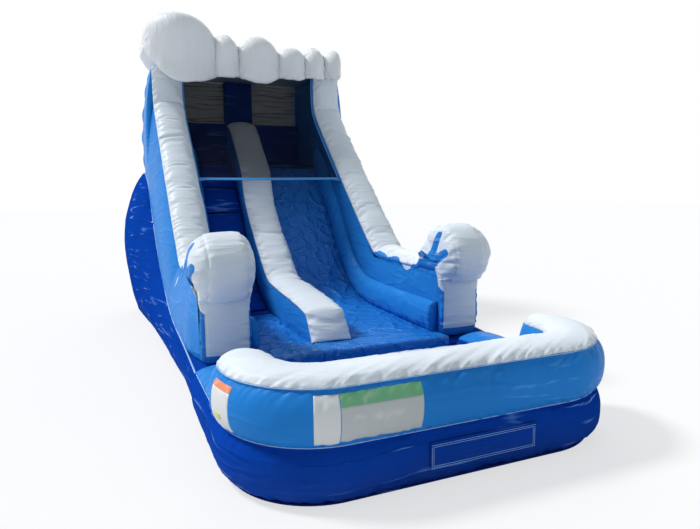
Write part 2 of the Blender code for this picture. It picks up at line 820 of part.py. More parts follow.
def make_net():
    """Safety net, its bindings on the walls and the webbing along its lower edge."""
    path = rounded(net_corners(), net_corner_radius)
    path[-1] = (path[-1][0], wall_top_height - gap)
    inner = lane_half_width - gap
    edge = inner - binding_width
    section = [(0.0, 0.0), (1.0, 0.0), (1.0, net_thickness), (0.0, net_thickness)]
    object_from("front_net", sweep_path(path, -edge + gap, edge - gap, section), "black_mesh")
    half = binding_thickness / 2
    strip = [(0.0, -half), (1.0, -half), (1.0, half), (0.0, half)]
    for name, side in (("net_binding_left", -1), ("net_binding_right", 1)):
        low, high = sorted((side * edge, side * inner))
        object_from(name, sweep_path(path, low, high, strip), "webbing_blue")
    start = Vector(path[0])
    along = (Vector(path[1]) - start).normalized()
    normal = Vector((-along.y, along.x))
    outline = [(-inner, gusset_drop), (-inner, gap), (inner, gap), (inner, gusset_drop),
               (inner - gusset_length, webbing_width), (-inner + gusset_length, webbing_width)]
    loops = []
    for lift in (-webbing_thickness / 2, webbing_thickness / 2):
        loops.append([Vector((x, start.x - along.x * drop + normal.x * lift,
                              start.y - along.y * drop + normal.y * lift)) for x, drop in outline])
    object_from("net_lower_webbing", loft(loops), "webbing_blue", smooth=False)


def pool_path(half_width, radius, front, end_y, steps=7):
    """Plan path round the pool, from the left side to the right, with round corners."""
    path = [(-half_width, end_y)]
    for side in (-1, 1):
        for k in range(steps + 1):
            angle = pi * (1.25 + side * 0.25) + pi / 2 * (k / steps - (side < 0)) + pi / 2 * (side < 0)
            path.append((side * (half_width - radius) + radius * cos(angle), front + radius
                         + radius * sin(angle)))
    path.append((half_width, end_y))
    return path


def sweep_pool(path, base, section, end_shares=()):
    """Carries a section round the pool. The section holds (depth inwards, height) points."""
    count = len(path)
    middle = pool_wall_thickness / 2
    loops = []
    for i, (x, y) in enumerate(path):
        along = (Vector(path[min(i + 1, count - 1)]) - Vector(path[max(i - 1, 0)])).normalized()
        inward = Vector((-along.y, along.x))
        from_end = min(i, count - 1 - i)
        share = end_shares[from_end] if from_end < len(end_shares) else 1.0
        loop = []
        for depth, height in section:
            place = middle + (depth - middle) * share
            loop.append(Vector((x + inward.x * place, y + inward.y * place, base + height)))
        loops.append(loop)
    return loft(loops)


def tapered_path(end_y):
    """Plan path whose straight arms have extra points near their ends."""
    path = pool_path(pool_half_width, pool_corner_radius, pool_front_y, end_y)
    near = [(-pool_half_width, end_y - arm_end_taper * share) for share in arm_place_shares]
    return near + path[1:-1] + [(-x, y) for x, y in reversed(near)]


def tube_section(height, foot_inset):
    """Side wall of a pool tube: upright in the middle, drawn in at its seams."""
    middle = len(tube_side_shares) // 2
    insets = [foot_inset] * middle + [pool_seam_inset] * middle
    outer = [(inset * drawn, height * up) for inset, (drawn, up) in zip(insets, tube_side_shares)]
    return outer + [(pool_wall_thickness - depth, up) for depth, up in reversed(outer)]


def make_pool():
    """Dark base tube, light blue band, white rim, side bumpers and the pool floor."""
    path = pool_path(pool_half_width, pool_corner_radius, pool_front_y, deck_y - gap)
    tube = sweep_pool(path, base_height, tube_section(pool_seam_height - base_height, pool_foot_inset))
    object_from("pool_base_tube", tube, "dark_blue_vinyl")
    arm_y = pool_front_y + arm_length
    path = tapered_path(arm_y)
    section = tube_section(pool_band_height - gap, pool_seam_inset)
    band = sweep_pool(path, pool_seam_height + gap, section, arm_taper_shares)
    object_from("pool_wall_band", band, "light_blue_vinyl")
    rim = []
    steps = 8
    for k in range(steps + 1):
        t = k / steps
        depth = pool_seam_inset + (pool_wall_thickness - 2 * pool_seam_inset) * t
        rim.append((depth, rim_crown * sin(pi * t) ** rim_round_power))
    cap = sweep_pool(path, pool_seam_height + pool_band_height + gap, rim, arm_taper_shares)
    object_from("pool_rim_cap", cap, "white_vinyl")
    make_bumpers(arm_y)
    (foot, _), (drawn, up) = tube_side_shares[:2]
    lean = pool_foot_inset * (foot - drawn) / (up * (pool_seam_height - base_height))
    inset = pool_wall_thickness - pool_foot_inset + pool_floor_thickness * lean + 2 * gap
    floor_path = pool_path(pool_half_width - inset, pool_corner_radius - inset, pool_front_y + inset,
                           deck_y - liner_thickness * 3)
    levels = (base_height, base_height + pool_floor_thickness)
    bm = loft([[Vector((x, y, z)) for x, y in floor_path] for z in levels])
    object_from("pool_floor", bm, "liner_blue_vinyl", smooth=False)


def make_bumpers(arm_y):
    """Low light blue bumpers that a rider steps over at the side exits."""
    for name, side in (("exit_bumper_left", -1), ("exit_bumper_right", 1)):
        outer = side * (pool_half_width - pool_seam_inset)
        inner = side * (pool_half_width - pool_wall_thickness + pool_seam_inset)
        loops = []
        for share, size in bumper_end_shares:
            y = arm_y + gap + (deck_y - gap * 2 - arm_y) * share
            steps = 8
            loops.append([Vector((outer + (inner - outer) * k / steps, y, pool_seam_height + gap
                                  + bumper_height * size * sin(pi * k / steps) ** crown_power))
                          for k in range(steps + 1)])
        object_from(name, loft(loops), "light_blue_vinyl")


def make_drain_zip():
    """Zip on the front of the base, its slider and the flap that covers it."""
    face = pool_front_y - gap
    left, right = zip_centre - zip_length / 2, zip_centre + zip_length / 2
    tape = box_between((left, face - zip_tape_thickness, zip_height - zip_tape_height / 2),
                       (right, face, zip_height + zip_tape_height / 2))
    object_from("drain_zip_tape", tape, "zip_black", smooth=False)
    slider_face = face - zip_tape_thickness - gap
    start = left + slider_length / 2
    slider = box_between((start, slider_face - slider_thickness, zip_height - slider_height / 2),
                         (start + slider_length, slider_face, zip_height + slider_height / 2))
    body = object_from("drain_zip_slider", slider, "ring_steel", smooth=False)
    edge = body.modifiers.new("round", "BEVEL")
    edge.width = slider_thickness / 4
    edge.segments = 2
    hinge_y, hinge_z = flap_hinge()
    steps = 9
    profile = []
    for k in range(steps + 1):
        angle = pi * (flap_hem_shares[0] + flap_hem_shares[1] * k / steps)
        profile.append((hinge_y + hem_radius * cos(angle), hinge_z + hem_radius * sin(angle)))
    front = slider_face - slider_thickness - gap * 2
    profile += [(front - flap_thickness, hinge_z - hem_radius),
                (front - flap_thickness, hinge_z - flap_drop), (front, hinge_z - flap_drop),
                (front, hinge_z - hem_radius * 2)]
    loops = [[Vector((x, y, z)) for y, z in profile] for x in (left - flap_overhang, right + flap_overhang)]
    object_from("drain_zip_flap", loft(loops), "dark_blue_vinyl")


def flap_hinge():
    """Y and Z of the hem that the zip's flap turns on."""
    return pool_front_y - gap - hem_radius, zip_height + flap_drop / 2


def make_sleeve():
    """Fabric tube for the air pump, at the left of the rear, with its tie band."""
    start = hull_rear_y + gap
    length = sleeve_length - gap
    height = sleeve_radius + sleeve_floor_clearance
    wall = liner_thickness * 2
    sides = 20

    def hoop(y, radius, turn=0.0):
        angles = [2 * pi * (k + turn) / sides for k in range(sides)]
        return [Vector((sleeve_centre + radius * cos(a), y, height + radius * sin(a))) for a in angles]

    outer = [hoop(start + length * share, sleeve_radius * size) for share, size in sleeve_shares]
    inner = [hoop(start + length * share, sleeve_radius * size - wall) for share, size in sleeve_shares[1:]]
    object_from("inflation_sleeve", loft(outer + list(reversed(inner))), "dark_blue_vinyl")
    y = start + length * tie_share
    inside = sleeve_radius * sleeve_shares[3][1] + 2 * gap
    rings = [hoop(place, radius) for place, radius in ((y - tie_width / 2, inside),
                                                       (y - tie_width / 2, inside + tie_thickness),
                                                       (y + tie_width / 2, inside + tie_thickness),
                                                       (y + tie_width / 2, inside))]
    object_from("sleeve_tie", loft(rings, ring=True), "webbing_blue")


def ring_pivot(side):
    """Where a D-ring's straight bar lies in its tab: X, Y and Z."""
    y = hull_rear_y + gap + tab_length - tab_end_radius
    return side * anchor_spacing / 2, y, base_height + tab_end_radius


def make_anchor(side, word):
    """Webbing tab with a loop round the straight bar of its D-ring."""
    x, y, z = ring_pivot(side)
    steps = 8
    profile = []
    for k in range(steps + 1):
        angle = -pi / 2 + pi * k / steps
        profile.append((y + tab_end_radius * cos(angle), z + tab_end_radius * sin(angle)))
    profile += [(y - tab_end_radius, z - tab_end_radius + tab_thickness),
                (hull_rear_y + gap, z - tab_end_radius + tab_thickness),
                (hull_rear_y + gap, z - tab_end_radius)]
    half = ring_inner_width / 2 - ring_wire_radius
    tab = object_from(f"anchor_tab_{word}", loft([[Vector((px, py, pz)) for py, pz in profile]
                                                  for px in (x - half, x + half)]), "webbing_blue")
    cutter = bmesh.new()
    bmesh.ops.create_cone(cutter, cap_ends=True, segments=16, radius1=ring_bore_radius,
                          radius2=ring_bore_radius, depth=ring_inner_width * 2)
    bore = object_from(f"anchor_bore_{word}", cutter, "webbing_blue")
    bore.rotation_euler = (0, pi / 2, 0)
    bore.location = (x, y, z)
    bore.hide_render = True
    bore.display_type = "WIRE"
    hole = tab.modifiers.new("bore", "BOOLEAN")
    hole.operation = "DIFFERENCE"
    hole.solver = "EXACT"
    hole.object = bore
    make_ring(f"anchor_ring_{word}", (x, y, z))


def make_ring(name, pivot):
    """Steel D-ring with its straight bar in the tab's loop and its tip on the ground."""
    curve = bpy.data.curves.new(name, "CURVE")
    curve.dimensions = "3D"
    curve.bevel_depth = ring_wire_radius
    curve.bevel_resolution = 1
    curve.render_resolution_u = 0
    half = ring_inner_width / 2 + ring_wire_radius
    bow = ring_length - half
    points = [(-half, 0.0), (0.0, 0.0), (half, 0.0)]
    steps = 10
    for k in range(steps + 1):
        angle = pi * k / steps
        points.append((half * cos(angle), bow + half * sin(angle)))
    spline = curve.splines.new("POLY")
    spline.points.add(len(points) - 1)
    for point, (across, out) in zip(spline.points, points):
        point.co = (across, out, 0.0, 1.0)
    spline.use_cyclic_u = True
    ring = bpy.data.objects.new(name, curve)
    ring.location = pivot
    ring.rotation_euler = (-asin((pivot[2] - ring_wire_radius - gap) / ring_length), 0, 0)
    curve.materials.append(finish_for(name, "ring_steel"))
    bpy.context.scene.collection.objects.link(ring)


def make_slide():
    clear_scene()
    make_ground_sheet()
    make_slide_hull()
    make_platform_baffles()
    nose_end = deck_y + divider_nose_setback + divider_cap_depth - gap
    for side, word in ((-1, "left"), (1, "right")):
        make_side_wall(side, f"{word}_side_wall")
        make_rear_column(side, f"{word}_rear_column")
        make_wave_front(side, f"{word}_wave_front")
        make_wall_cap(side, f"{word}_wall_cap")
        make_bolster(side, f"{word}_lane_bolster")
        make_anchor(side, word)
    make_bed("slide_bed", divider_right, lane_edge, lip_y - gap, slide_channel_count)
    make_bed("climb_bed", -lane_edge, divider_left, lip_y - gap, climb_channel_count)
    make_bed("centre_pad", divider_left, divider_right, nose_end, centre_channel_count)
    make_liner("slide_liner", divider_right, lane_edge, lip_y - bed_thickness)
    make_liner("climb_liner", -lane_edge, divider_left, foot_y)
    make_liner("centre_liner", divider_left, divider_right, nose_end)
    make_climb_steps()
    make_divider()
    make_platform()
    make_crest()
    make_net()
    make_pool()
    make_drain_zip()
    make_sleeve()


make_slide()
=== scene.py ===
from math import cos, pi, radians, sin

import bmesh
import bpy
import numpy as np
from mathutils import Matrix, Vector


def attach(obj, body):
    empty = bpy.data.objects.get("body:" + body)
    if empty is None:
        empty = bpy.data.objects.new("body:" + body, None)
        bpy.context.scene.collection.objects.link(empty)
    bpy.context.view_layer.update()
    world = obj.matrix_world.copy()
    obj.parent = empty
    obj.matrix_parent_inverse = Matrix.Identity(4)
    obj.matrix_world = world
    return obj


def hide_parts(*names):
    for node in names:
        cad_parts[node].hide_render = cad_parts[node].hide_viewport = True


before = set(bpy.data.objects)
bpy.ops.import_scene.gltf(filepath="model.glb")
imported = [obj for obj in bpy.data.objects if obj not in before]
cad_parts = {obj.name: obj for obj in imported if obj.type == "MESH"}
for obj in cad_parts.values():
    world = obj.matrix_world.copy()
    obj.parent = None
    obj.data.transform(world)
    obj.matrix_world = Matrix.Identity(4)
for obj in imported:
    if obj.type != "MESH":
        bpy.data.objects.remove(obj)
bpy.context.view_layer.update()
print("stage: frame loaded")

# Main places of the slide in metres: y from the pool to the rear, z from the ground
slide = {
    "poolFront": -4.1981, "deck": -2.1581, "wallFront": -1.9081, "column": -2.0081, "foot": -0.2581,
    "lip": 2.1519, "rearWall": 3.2219, "rear": 3.5719, "hullRear": 3.7919, "ground": 0.0103,
    "deckHeight": 0.445, "seamHeight": 0.448, "platform": 2.54, "shelf": 1.20, "wallTop": 4.10,
    "laneHalf": 1.125, "wallOuter": 1.575, "seamHalf": 1.69, "footHalf": 1.60, "hullBulge": 0.42,
    "dividerLeft": -0.39, "dividerRight": 0.05, "netFoot": 2.37, "netInset": 0.03, "bendShare": 0.788,
    "gap": 0.0015,
}
slopeTable = {
    "run": (0.0, 0.195, 0.36, 0.506, 0.71, 0.917, 1.0),
    "rise": (0.0, 0.031, 0.131, 0.279, 0.604, 0.885, 1.0),
}
seamTable = {
    "run": (0.0, 0.13, 0.36, 0.495, 0.58, 0.665, 0.76, 0.81, 0.91, 1.0),
    "rise": (0.0, 0.03, 0.055, 0.195, 0.31, 0.46, 0.67, 0.87, 0.985, 1.0),
    "bulge": (0.06, 0.07, 0.20, 0.40, 0.52, 0.65, 0.80, 0.87, 0.97, 1.0),
    "foot": (0.0, 0.0, 0.02, 0.14, 0.26, 0.37, 0.48, 0.55, 0.67, 0.76),
    "wallTop": (0.0, 0.09, 0.342, 0.45, 0.58, 0.70, 0.828, 0.828, 0.92, 1.0),
}
sides = (("Left", -1), ("Right", 1))
noiseSize = 512


def smooth(t):
    return t * t * (3 - 2 * t)


def eased(count):
    return 0.5 - 0.5 * np.cos(np.linspace(0, pi, count))


# Smooth random curves and fields, the same on each run
def noiseLine(x, seed):
    table = np.random.default_rng(seed).uniform(-1, 1, noiseSize)
    low = np.floor(x).astype(int)
    t = smooth(x - low)
    return table[low % noiseSize] * (1 - t) + table[(low + 1) % noiseSize] * t


def noiseField(x, y, seed):
    table = np.random.default_rng(seed).uniform(-1, 1, (noiseSize, noiseSize))
    xl, yl = np.floor(x).astype(int), np.floor(y).astype(int)
    tx, ty = smooth(x - xl), smooth(y - yl)
    a, b = xl % noiseSize, (xl + 1) % noiseSize
    c, d = yl % noiseSize, (yl + 1) % noiseSize
    low = table[a, c] * (1 - tx) + table[b, c] * tx
    high = table[a, d] * (1 - tx) + table[b, d] * tx
    return low * (1 - ty) + high * ty


# Gathers that run out from a seam: along is the way down the seam, away the distance from it
def gathers(along, away, reach, height, seed):
    drift = along + away * 0.25 * noiseLine(along * 1.7, seed + 5)
    fine = noiseLine(drift * 36, seed) * np.exp(-away / (reach * 0.55))
    middle = (1 - 2 * np.abs(noiseLine(drift * 17, seed + 1))) * np.exp(-away / reach)
    wide = noiseLine(drift * 6.5, seed + 2) * np.exp(-away / (reach * 2.2))
    sewn = 1 - np.exp(-away / 0.008)
    return height * sewn * (0.55 * fine + 1.0 * middle + 0.5 * wide)


# Gathers at both seams of a panel, each given by its reach and height
def bothGathers(along, across, first, second, seeds):
    away = across[:, -1:] - across
    return gathers(along, across, *first, seeds[0]) + gathers(along, away, *second, seeds[1])


# A soft fold across the piece at one place
def fold(along, place, width, depth):
    return -depth * np.exp(-((along - place) / width) ** 2)


# Long thin wrinkles that follow one direction
def wrinkles(along, across, spacing, height, seed):
    waved = across / spacing + 0.8 * noiseField(along * 1.3, across * 2.0, seed)
    ridge = 1 - np.abs(noiseField(along * 1.1 / spacing * 0.12, waved, seed + 1)) * 2
    mask = np.clip(noiseField(along * 1.4, across * 3.0, seed + 2) + 0.25, 0, 1)
    return height * np.clip(ridge, 0, 1) ** 2 * mask


# Lines: points in a row, mostly as y and z
def unit(vectors):
    return vectors / np.linalg.norm(vectors, axis=-1, keepdims=True)


def chaikin(points, rounds):
    points = np.asarray(points, float)
    for _ in range(rounds):
        near = points[:-1] * 0.75 + points[1:] * 0.25
        far = points[:-1] * 0.25 + points[1:] * 0.75
        inner = np.empty((2 * len(near), points.shape[1]))
        inner[0::2], inner[1::2] = near, far
        points = np.vstack((points[:1], inner[1:-1], points[-1:]))
    return points


def lengths(points):
    steps = np.linalg.norm(np.diff(points, axis=0), axis=1)
    return np.concatenate(((0.0,), np.cumsum(steps)))


def pointsAt(places, run, points):
    return np.column_stack([np.interp(places, run, points[:, k]) for k in range(points.shape[1])])


def spaced(points, step):
    points = np.asarray(points, float)
    run = lengths(points)
    return pointsAt(np.linspace(0, run[-1], max(int(run[-1] / step), 2) + 1), run, points)


def softLine(points, rounds=3, step=0.02):
    return spaced(chaikin(points, rounds), step)


# A line through points whose corners are cut back by up to reach and rounded
def roundedLine(points, reach, step):
    line = [points[0]]
    for before, corner, after in zip(points, points[1:], points[2:]):
        for point in (before, after):
            size = np.linalg.norm(point - corner)
            line.append(corner + (point - corner) / size * min(reach, size * 0.45))
    return softLine([*line, points[-1]], 3, step)


# Normals of a line in a plane, to the left of its direction
def lineNormals(points):
    run = unit(np.gradient(points, axis=0))
    return np.column_stack((-run[:, 1], run[:, 0]))


def shiftedLine(points, distance):
    return points + lineNormals(points) * distance


def heightOn(line, y):
    return np.interp(y, line[:, 0], line[:, 1])


def slopeLine(lift=0.0):
    run, rise = np.array(slopeTable["run"]), np.array(slopeTable["rise"])
    y = slide["foot"] + (slide["lip"] - slide["foot"]) * run
    z = slide["deckHeight"] + (slide["platform"] - slide["deckHeight"]) * rise
    points = [(slide["deck"], slide["deckHeight"]), *zip(y, z), (slide["rear"], slide["platform"])]
    line = softLine(points, 2)
    return shiftedLine(line, lift) if lift else line


def partOfLine(line, start, end):
    inner = line[(line[:, 0] > start + 0.002) & (line[:, 0] < end - 0.002)]
    return np.vstack(((start, heightOn(line, start)), inner, (end, heightOn(line, end))))


def seamPoints():
    y = slide["deck"] + (slide["rear"] - slide["deck"]) * np.array(seamTable["run"])
    rise = slide["platform"] - 0.06 - slide["seamHeight"]
    return np.column_stack((y, slide["seamHeight"] + rise * np.array(seamTable["rise"])))


def wallTopPoints():
    y = slide["wallFront"] + (slide["rearWall"] - slide["wallFront"]) * np.array(seamTable["wallTop"])
    climb = np.clip(slide["bendShare"] * (y - y[2]) / (y[6] - y[2]), 0, 1)
    climb[7:] = 1.0
    return np.column_stack((y, slide["shelf"] + (slide["wallTop"] - slide["shelf"]) * climb))


def netPoints():
    knee, bend, end = wallTopPoints()[[2, 6, 7]]
    edge = knee + (bend - knee) * (slide["netFoot"] - knee[1]) / (bend[1] - knee[1])
    along, inset = unit(bend - edge), slide["netInset"]
    normal = np.array((-along[1], along[0]))
    turned = (bend[0] + inset, bend[1] - inset * (1 - normal[1]) / -normal[0])
    return np.array((edge - normal * inset, turned, (end[0] + inset, end[1] - 0.001)))


# Surfaces: a grid of rows and columns of points
def gridOf(x, y, z):
    return np.stack(np.broadcast_arrays(x, y, z), axis=-1)


def gridNormals(grid, closed=True):
    if closed:
        wide = np.concatenate((grid[:, -1:], grid, grid[:, :1]), axis=1)
        across = (wide[:, 2:] - wide[:, :-2]) / 2
    else:
        across = np.gradient(grid, axis=1)
    normal = np.cross(np.gradient(grid, axis=0), across)
    normal /= np.maximum(np.linalg.norm(normal, axis=2), 1e-9)[:, :, None]
    if closed and (normal * (grid - grid.mean(axis=1, keepdims=True))).sum() < 0:
        return -normal
    return normal


# Normals of an open surface that looks up
def upNormals(grid):
    normal = gridNormals(grid, False)
    return normal if normal[:, :, 2].sum() > 0 else -normal


# Lifts the columns of a surface from start on along its normals
def raised(grid, rise, start=0):
    full = np.zeros(grid.shape[:2])
    full[:, start:start + rise.shape[1]] = rise
    return grid + gridNormals(grid) * full[:, :, None]


def runs(grid):
    along = np.linalg.norm(np.diff(grid, axis=0), axis=2)
    along = np.vstack((np.zeros(grid.shape[1]), np.cumsum(along, axis=0)))
    across = np.linalg.norm(np.diff(grid, axis=1), axis=2)
    across = np.hstack((np.zeros((grid.shape[0], 1)), np.cumsum(across, axis=1)))
    return along, across


# Runs along and across one panel of a surface, the second from the panel's first seam
def panelRuns(grid, start, count):
    along, across = runs(grid)
    return along[:, start:start + count], across[:, start:start + count] - across[:, start:start + 1]


def nearestEdge(across):
    return np.minimum(across, across[:, -1:] - across)


# Closes an open surface with its back, which is the same size
def sheetGrid(face, back):
    return np.concatenate((face, back[:, ::-1]), axis=1)


def gridMesh(name, grid):
    index = np.arange(grid.shape[0] * grid.shape[1]).reshape(grid.shape[:2])
    after = np.roll(index, -1, axis=1)
    quads = np.stack((index[:-1], after[:-1], after[1:], index[1:]), axis=-1).reshape(-1, 4)
    mesh = bpy.data.meshes.new(name)
    mesh.from_pydata(grid.reshape(-1, 3).tolist(), [],
                     [*quads.tolist(), index[0][::-1].tolist(), index[-1].tolist()])
    places = np.stack(runs(grid), axis=-1).reshape(-1, 2)
    corners = np.empty(len(mesh.loops), int)
    mesh.loops.foreach_get("vertex_index", corners)
    layer = mesh.uv_layers.new(name="seamMap")
    layer.data.foreach_set("uv", places[corners].ravel())
    mesh.update()
    return mesh


def flipOut(mesh):
    bm = bmesh.new()
    bm.from_mesh(mesh)
    bmesh.ops.recalc_face_normals(bm, faces=bm.faces)
    bm.to_mesh(mesh)
    bm.free()


# Adds one piece: its name, its grid or its boxes, finish, body and the solids it stands for
def addPiece(name, shape, finish, stands=(), rides="slide_body", sharp=None):
    if isinstance(shape, tuple):
        mesh = bpy.data.meshes.new(name)
        mesh.from_pydata(shape[0], [], shape[1])
    else:
        mesh = gridMesh(name, shape)
    flipOut(mesh)
    mesh.shade_smooth()
    if sharp:
        mesh.set_sharp_from_angle(angle=radians(sharp))
    piece = bpy.data.objects.new(name, mesh)
    bpy.context.scene.collection.objects.link(piece)
    material, slotName = finishes[finish]
    mesh.materials.append(material)
    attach(piece, rides)
    if stands:
        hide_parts(*([stands] if isinstance(stands, str) else stands))
    return piece


# Air pressure in sewn fabric: a coarse copy of the surface is simulated with its seams held and its cloth
# a little too large, and the movement is then spread over the fine surface
air = {
    "frames": 16, "step": 2, "pressure": 4.0, "mass": 0.3, "stiffness": 12.0, "bending": 0.30, "quality": 3,
}


# Marks all points as held but those in the free columns
def heldSeams(grid, *free):
    held = np.ones(grid.shape[:2], bool)
    for start, end in free:
        held[:, start:end] = False
    held[[0, -1]] = True
    return held


def blownMove(name, coarse, held, grow):
    test = bpy.data.objects.new(name, gridMesh(name, coarse))
    flipOut(test.data)
    scene = bpy.context.scene
    scene.collection.objects.link(test)
    group = test.vertex_groups.new(name="heldSeams")
    group.add(np.flatnonzero(held.ravel()).tolist(), 1.0, "REPLACE")
    modifier = test.modifiers.new("airPressure", "CLOTH")
    cloth = modifier.settings
    cloth.quality = air["quality"]
    cloth.mass = air["mass"]
    cloth.tension_stiffness = cloth.compression_stiffness = air["stiffness"]
    cloth.shear_stiffness = air["stiffness"] / 2
    cloth.bending_stiffness = air["bending"]
    cloth.use_pressure = True
    cloth.uniform_pressure_force = air["pressure"]
    cloth.shrink_min = cloth.shrink_max = -grow
    cloth.effector_weights.gravity = 0.0
    cloth.vertex_group_mass = "heldSeams"
    modifier.collision_settings.use_collision = False
    modifier.collision_settings.use_self_collision = False
    for frameNumber in range(1, air["frames"] + 1):
        scene.frame_set(frameNumber)
    swollen = test.evaluated_get(bpy.context.evaluated_depsgraph_get()).data
    after = np.empty(len(swollen.vertices) * 3)
    swollen.vertices.foreach_get("co", after)
    scene.frame_set(1)
    mesh = test.data
    bpy.data.objects.remove(test)
    bpy.data.meshes.remove(mesh)
    return after.reshape(coarse.shape) - coarse


def spreadMove(move, rows, columns, shape):
    wide = np.append(columns, shape[1])
    move = np.concatenate((move, move[:, :1]), axis=1)
    across = np.empty((len(rows), shape[1], 3))
    full = np.empty((*shape, 3))
    for k in range(3):
        for r in range(len(rows)):
            across[r, :, k] = np.interp(np.arange(shape[1]), wide, move[r, :, k])
        for c in range(shape[1]):
            full[:, c, k] = np.interp(np.arange(shape[0]), rows, across[:, c, k])
    return full


# Grow is how much too large the cloth is, most the largest movement, both set for each piece
def inflate(name, grid, held, grow, most, fade=1.0):
    shape = grid.shape[:2]
    firm = np.flatnonzero(held.mean(axis=1) > 0.9)
    rows = np.array(sorted({*range(0, shape[0], air["step"]), *firm, shape[0] - 1}))
    columns = np.arange(0, shape[1], air["step"])
    move = blownMove(f"{name}Air", grid[rows][:, columns], held[rows][:, columns], grow)
    size = np.linalg.norm(move, axis=2, keepdims=True)
    move *= most * np.tanh(size / most) / np.maximum(size, 1e-9)
    full = spreadMove(move, rows, columns, shape)
    full[held] = 0
    for _ in range(2):
        around = (np.roll(full, 1, axis=1) + np.roll(full, -1, axis=1)) / 2
        beside = full.copy()
        beside[1:-1] = (full[:-2] + full[2:]) / 2
        full = full * 0.5 + (around + beside) * 0.25
        full[held] = 0
    print(f"air in {name}: {len(rows) * len(columns)} points, largest move {float(size.max()):.3f} m")
    return grid + full * fade


crownCount = 30


# Carries a closed section of x and height along a line in the YZ plane
def sweepGrid(line, x, height):
    normal = lineNormals(line)
    return gridOf(x, line[:, :1] + normal[:, :1] * height, line[:, 1:] + normal[:, 1:] * height)


# Closes a strip's section: up one edge, over the crown, down the other and back below
def stripSection(low, high, t, crown):
    back = np.linspace(high, low, 8)[1:-1]
    x = np.concatenate(((low,), low + (high - low) * t, (high,), back))
    return x, np.concatenate(((0.0,), crown, (0.0,), np.zeros(len(back))))


def crownSection(low, high, depth, edge, power):
    t = eased(crownCount)
    return stripSection(low, high, t, depth * (edge + (1 - edge) * np.sin(pi * t) ** power))


def channelSection(low, high, depth, valley, count):
    t = np.linspace(0, 1, count * 12 + 1)
    crown = depth - valley * (1 - np.abs(np.sin(pi * count * t)) ** 0.6)
    return (*stripSection(low, high, t, crown), len(t))


# Sockets take a plain value, or the output of another node
def setSockets(tree, sockets, values):
    for key, value in values.items():
        if isinstance(value, bpy.types.NodeSocket):
            tree.links.new(value, sockets[key])
        else:
            sockets[key].default_value = value


# Adds a node with its sockets and settings, and gives its outputs
def node(tree, kind, values=None, **settings):
    made = tree.nodes.new(kind)
    for key, value in settings.items():
        setattr(made, key, value)
    setSockets(tree, made.inputs, values or {})
    return made.outputs


def mathNode(tree, operation, *values):
    return node(tree, "ShaderNodeMath", dict(enumerate(values)), operation=operation)[0]


# Soft step of a value between two limits
def softStep(tree, value, low, high, start=0.0, end=1.0):
    sockets = {"Value": value, "From Min": low, "From Max": high, "To Min": start, "To Max": end}
    return node(tree, "ShaderNodeMapRange", sockets, interpolation_type="SMOOTHSTEP")[0]


def mixColour(tree, factor, first, second):
    first, second = [(*c, 1.0) if isinstance(c, tuple) else c for c in (first, second)]
    return node(tree, "ShaderNodeMix", {0: factor, 6: first, 7: second}, data_type="RGBA")[2]


def bumpNode(tree, height, strength, distance):
    return node(tree, "ShaderNodeBump", {"Height": height, "Strength": strength, "Distance": distance})[0]


# Inputs without a value are vectors
def newGroup(name, inputs, outputs):
    group = bpy.data.node_groups.new(name, "ShaderNodeTree")
    for label, value in inputs.items():
        kind = "NodeSocketVector" if value is None else "NodeSocketFloat"
        socket = group.interface.new_socket(name=label, in_out="INPUT", socket_type=kind)
        if value is not None:
            socket.default_value = value
    for label in outputs:
        group.interface.new_socket(name=label, in_out="OUTPUT", socket_type="NodeSocketFloat")
    return group, group.nodes.new("NodeGroupInput").outputs, group.nodes.new("NodeGroupOutput").inputs


# Creases of coated fabric: long streaks along the stretch, with fine crumples between them
def makeCreaseGroup():
    group, source, result = newGroup("vinylCreases", {"Vector": None, "Stretch": None, "Crumple": 0.5,
                                                      "Lines": 0.5}, ("Height", "Crease", "Patches"))
    place = source["Vector"]
    warp = node(group, "ShaderNodeTexNoise", {"Vector": place, "Scale": 1.7, "Detail": 2.0})["Color"]
    push = node(group, "ShaderNodeVectorMath", {0: warp, 1: (0.22, 0.22, 0.09), 2: place},
                operation="MULTIPLY_ADD")[0]
    drawn = node(group, "ShaderNodeVectorMath", {0: push, 1: source["Stretch"]}, operation="MULTIPLY")[0]
    streak = node(group, "ShaderNodeTexNoise", {"Vector": drawn, "Scale": 1.0, "Detail": 3.0,
                                                "Roughness": 0.62, "Offset": 1.0},
                  noise_type="RIDGED_MULTIFRACTAL", normalize=False)["Fac"]
    spots = node(group, "ShaderNodeTexNoise", {"Vector": place, "Scale": 1.3, "Detail": 3.0})["Fac"]
    thin, chosen = softStep(group, streak, 1.45, 1.95), softStep(group, spots, 0.40, 0.62)
    thin = mathNode(group, "MULTIPLY", thin, chosen)
    small = node(group, "ShaderNodeTexNoise", {"Vector": push, "Scale": 15.0, "Detail": 5.0,
                                               "Roughness": 0.58})["Fac"]
    rough = mathNode(group, "MULTIPLY", small, source["Crumple"])
    # Crease is the mask of the thin streaks, which the finishes paint pale as a painted highlight
    setSockets(group, result, {
        "Height": mathNode(group, "ADD", rough, softStep(group, streak, 0.7, 1.9)),
        "Crease": mathNode(group, "MULTIPLY", thin, source["Lines"]), "Patches": spots})
    return group


# Pale dust low down on the fabric, from height and a broad noise
def makeDustGroup():
    group, source, result = newGroup("groundDust", {"Vector": None, "Amount": 0.2}, ("Mask",))
    place = source["Vector"]
    height = node(group, "ShaderNodeSeparateXYZ", {0: place})["Z"]
    speck = node(group, "ShaderNodeTexNoise", {"Vector": place, "Scale": 7.0, "Detail": 6.0})["Fac"]
    spread = mathNode(group, "MULTIPLY", softStep(group, height, 0.0, 0.45, 1.0, 0.12), speck)
    setSockets(group, result, {"Mask": mathNode(group, "MULTIPLY", spread, source["Amount"])})
    return group


creaseGroup = makeCreaseGroup()
dustGroup = makeDustGroup()


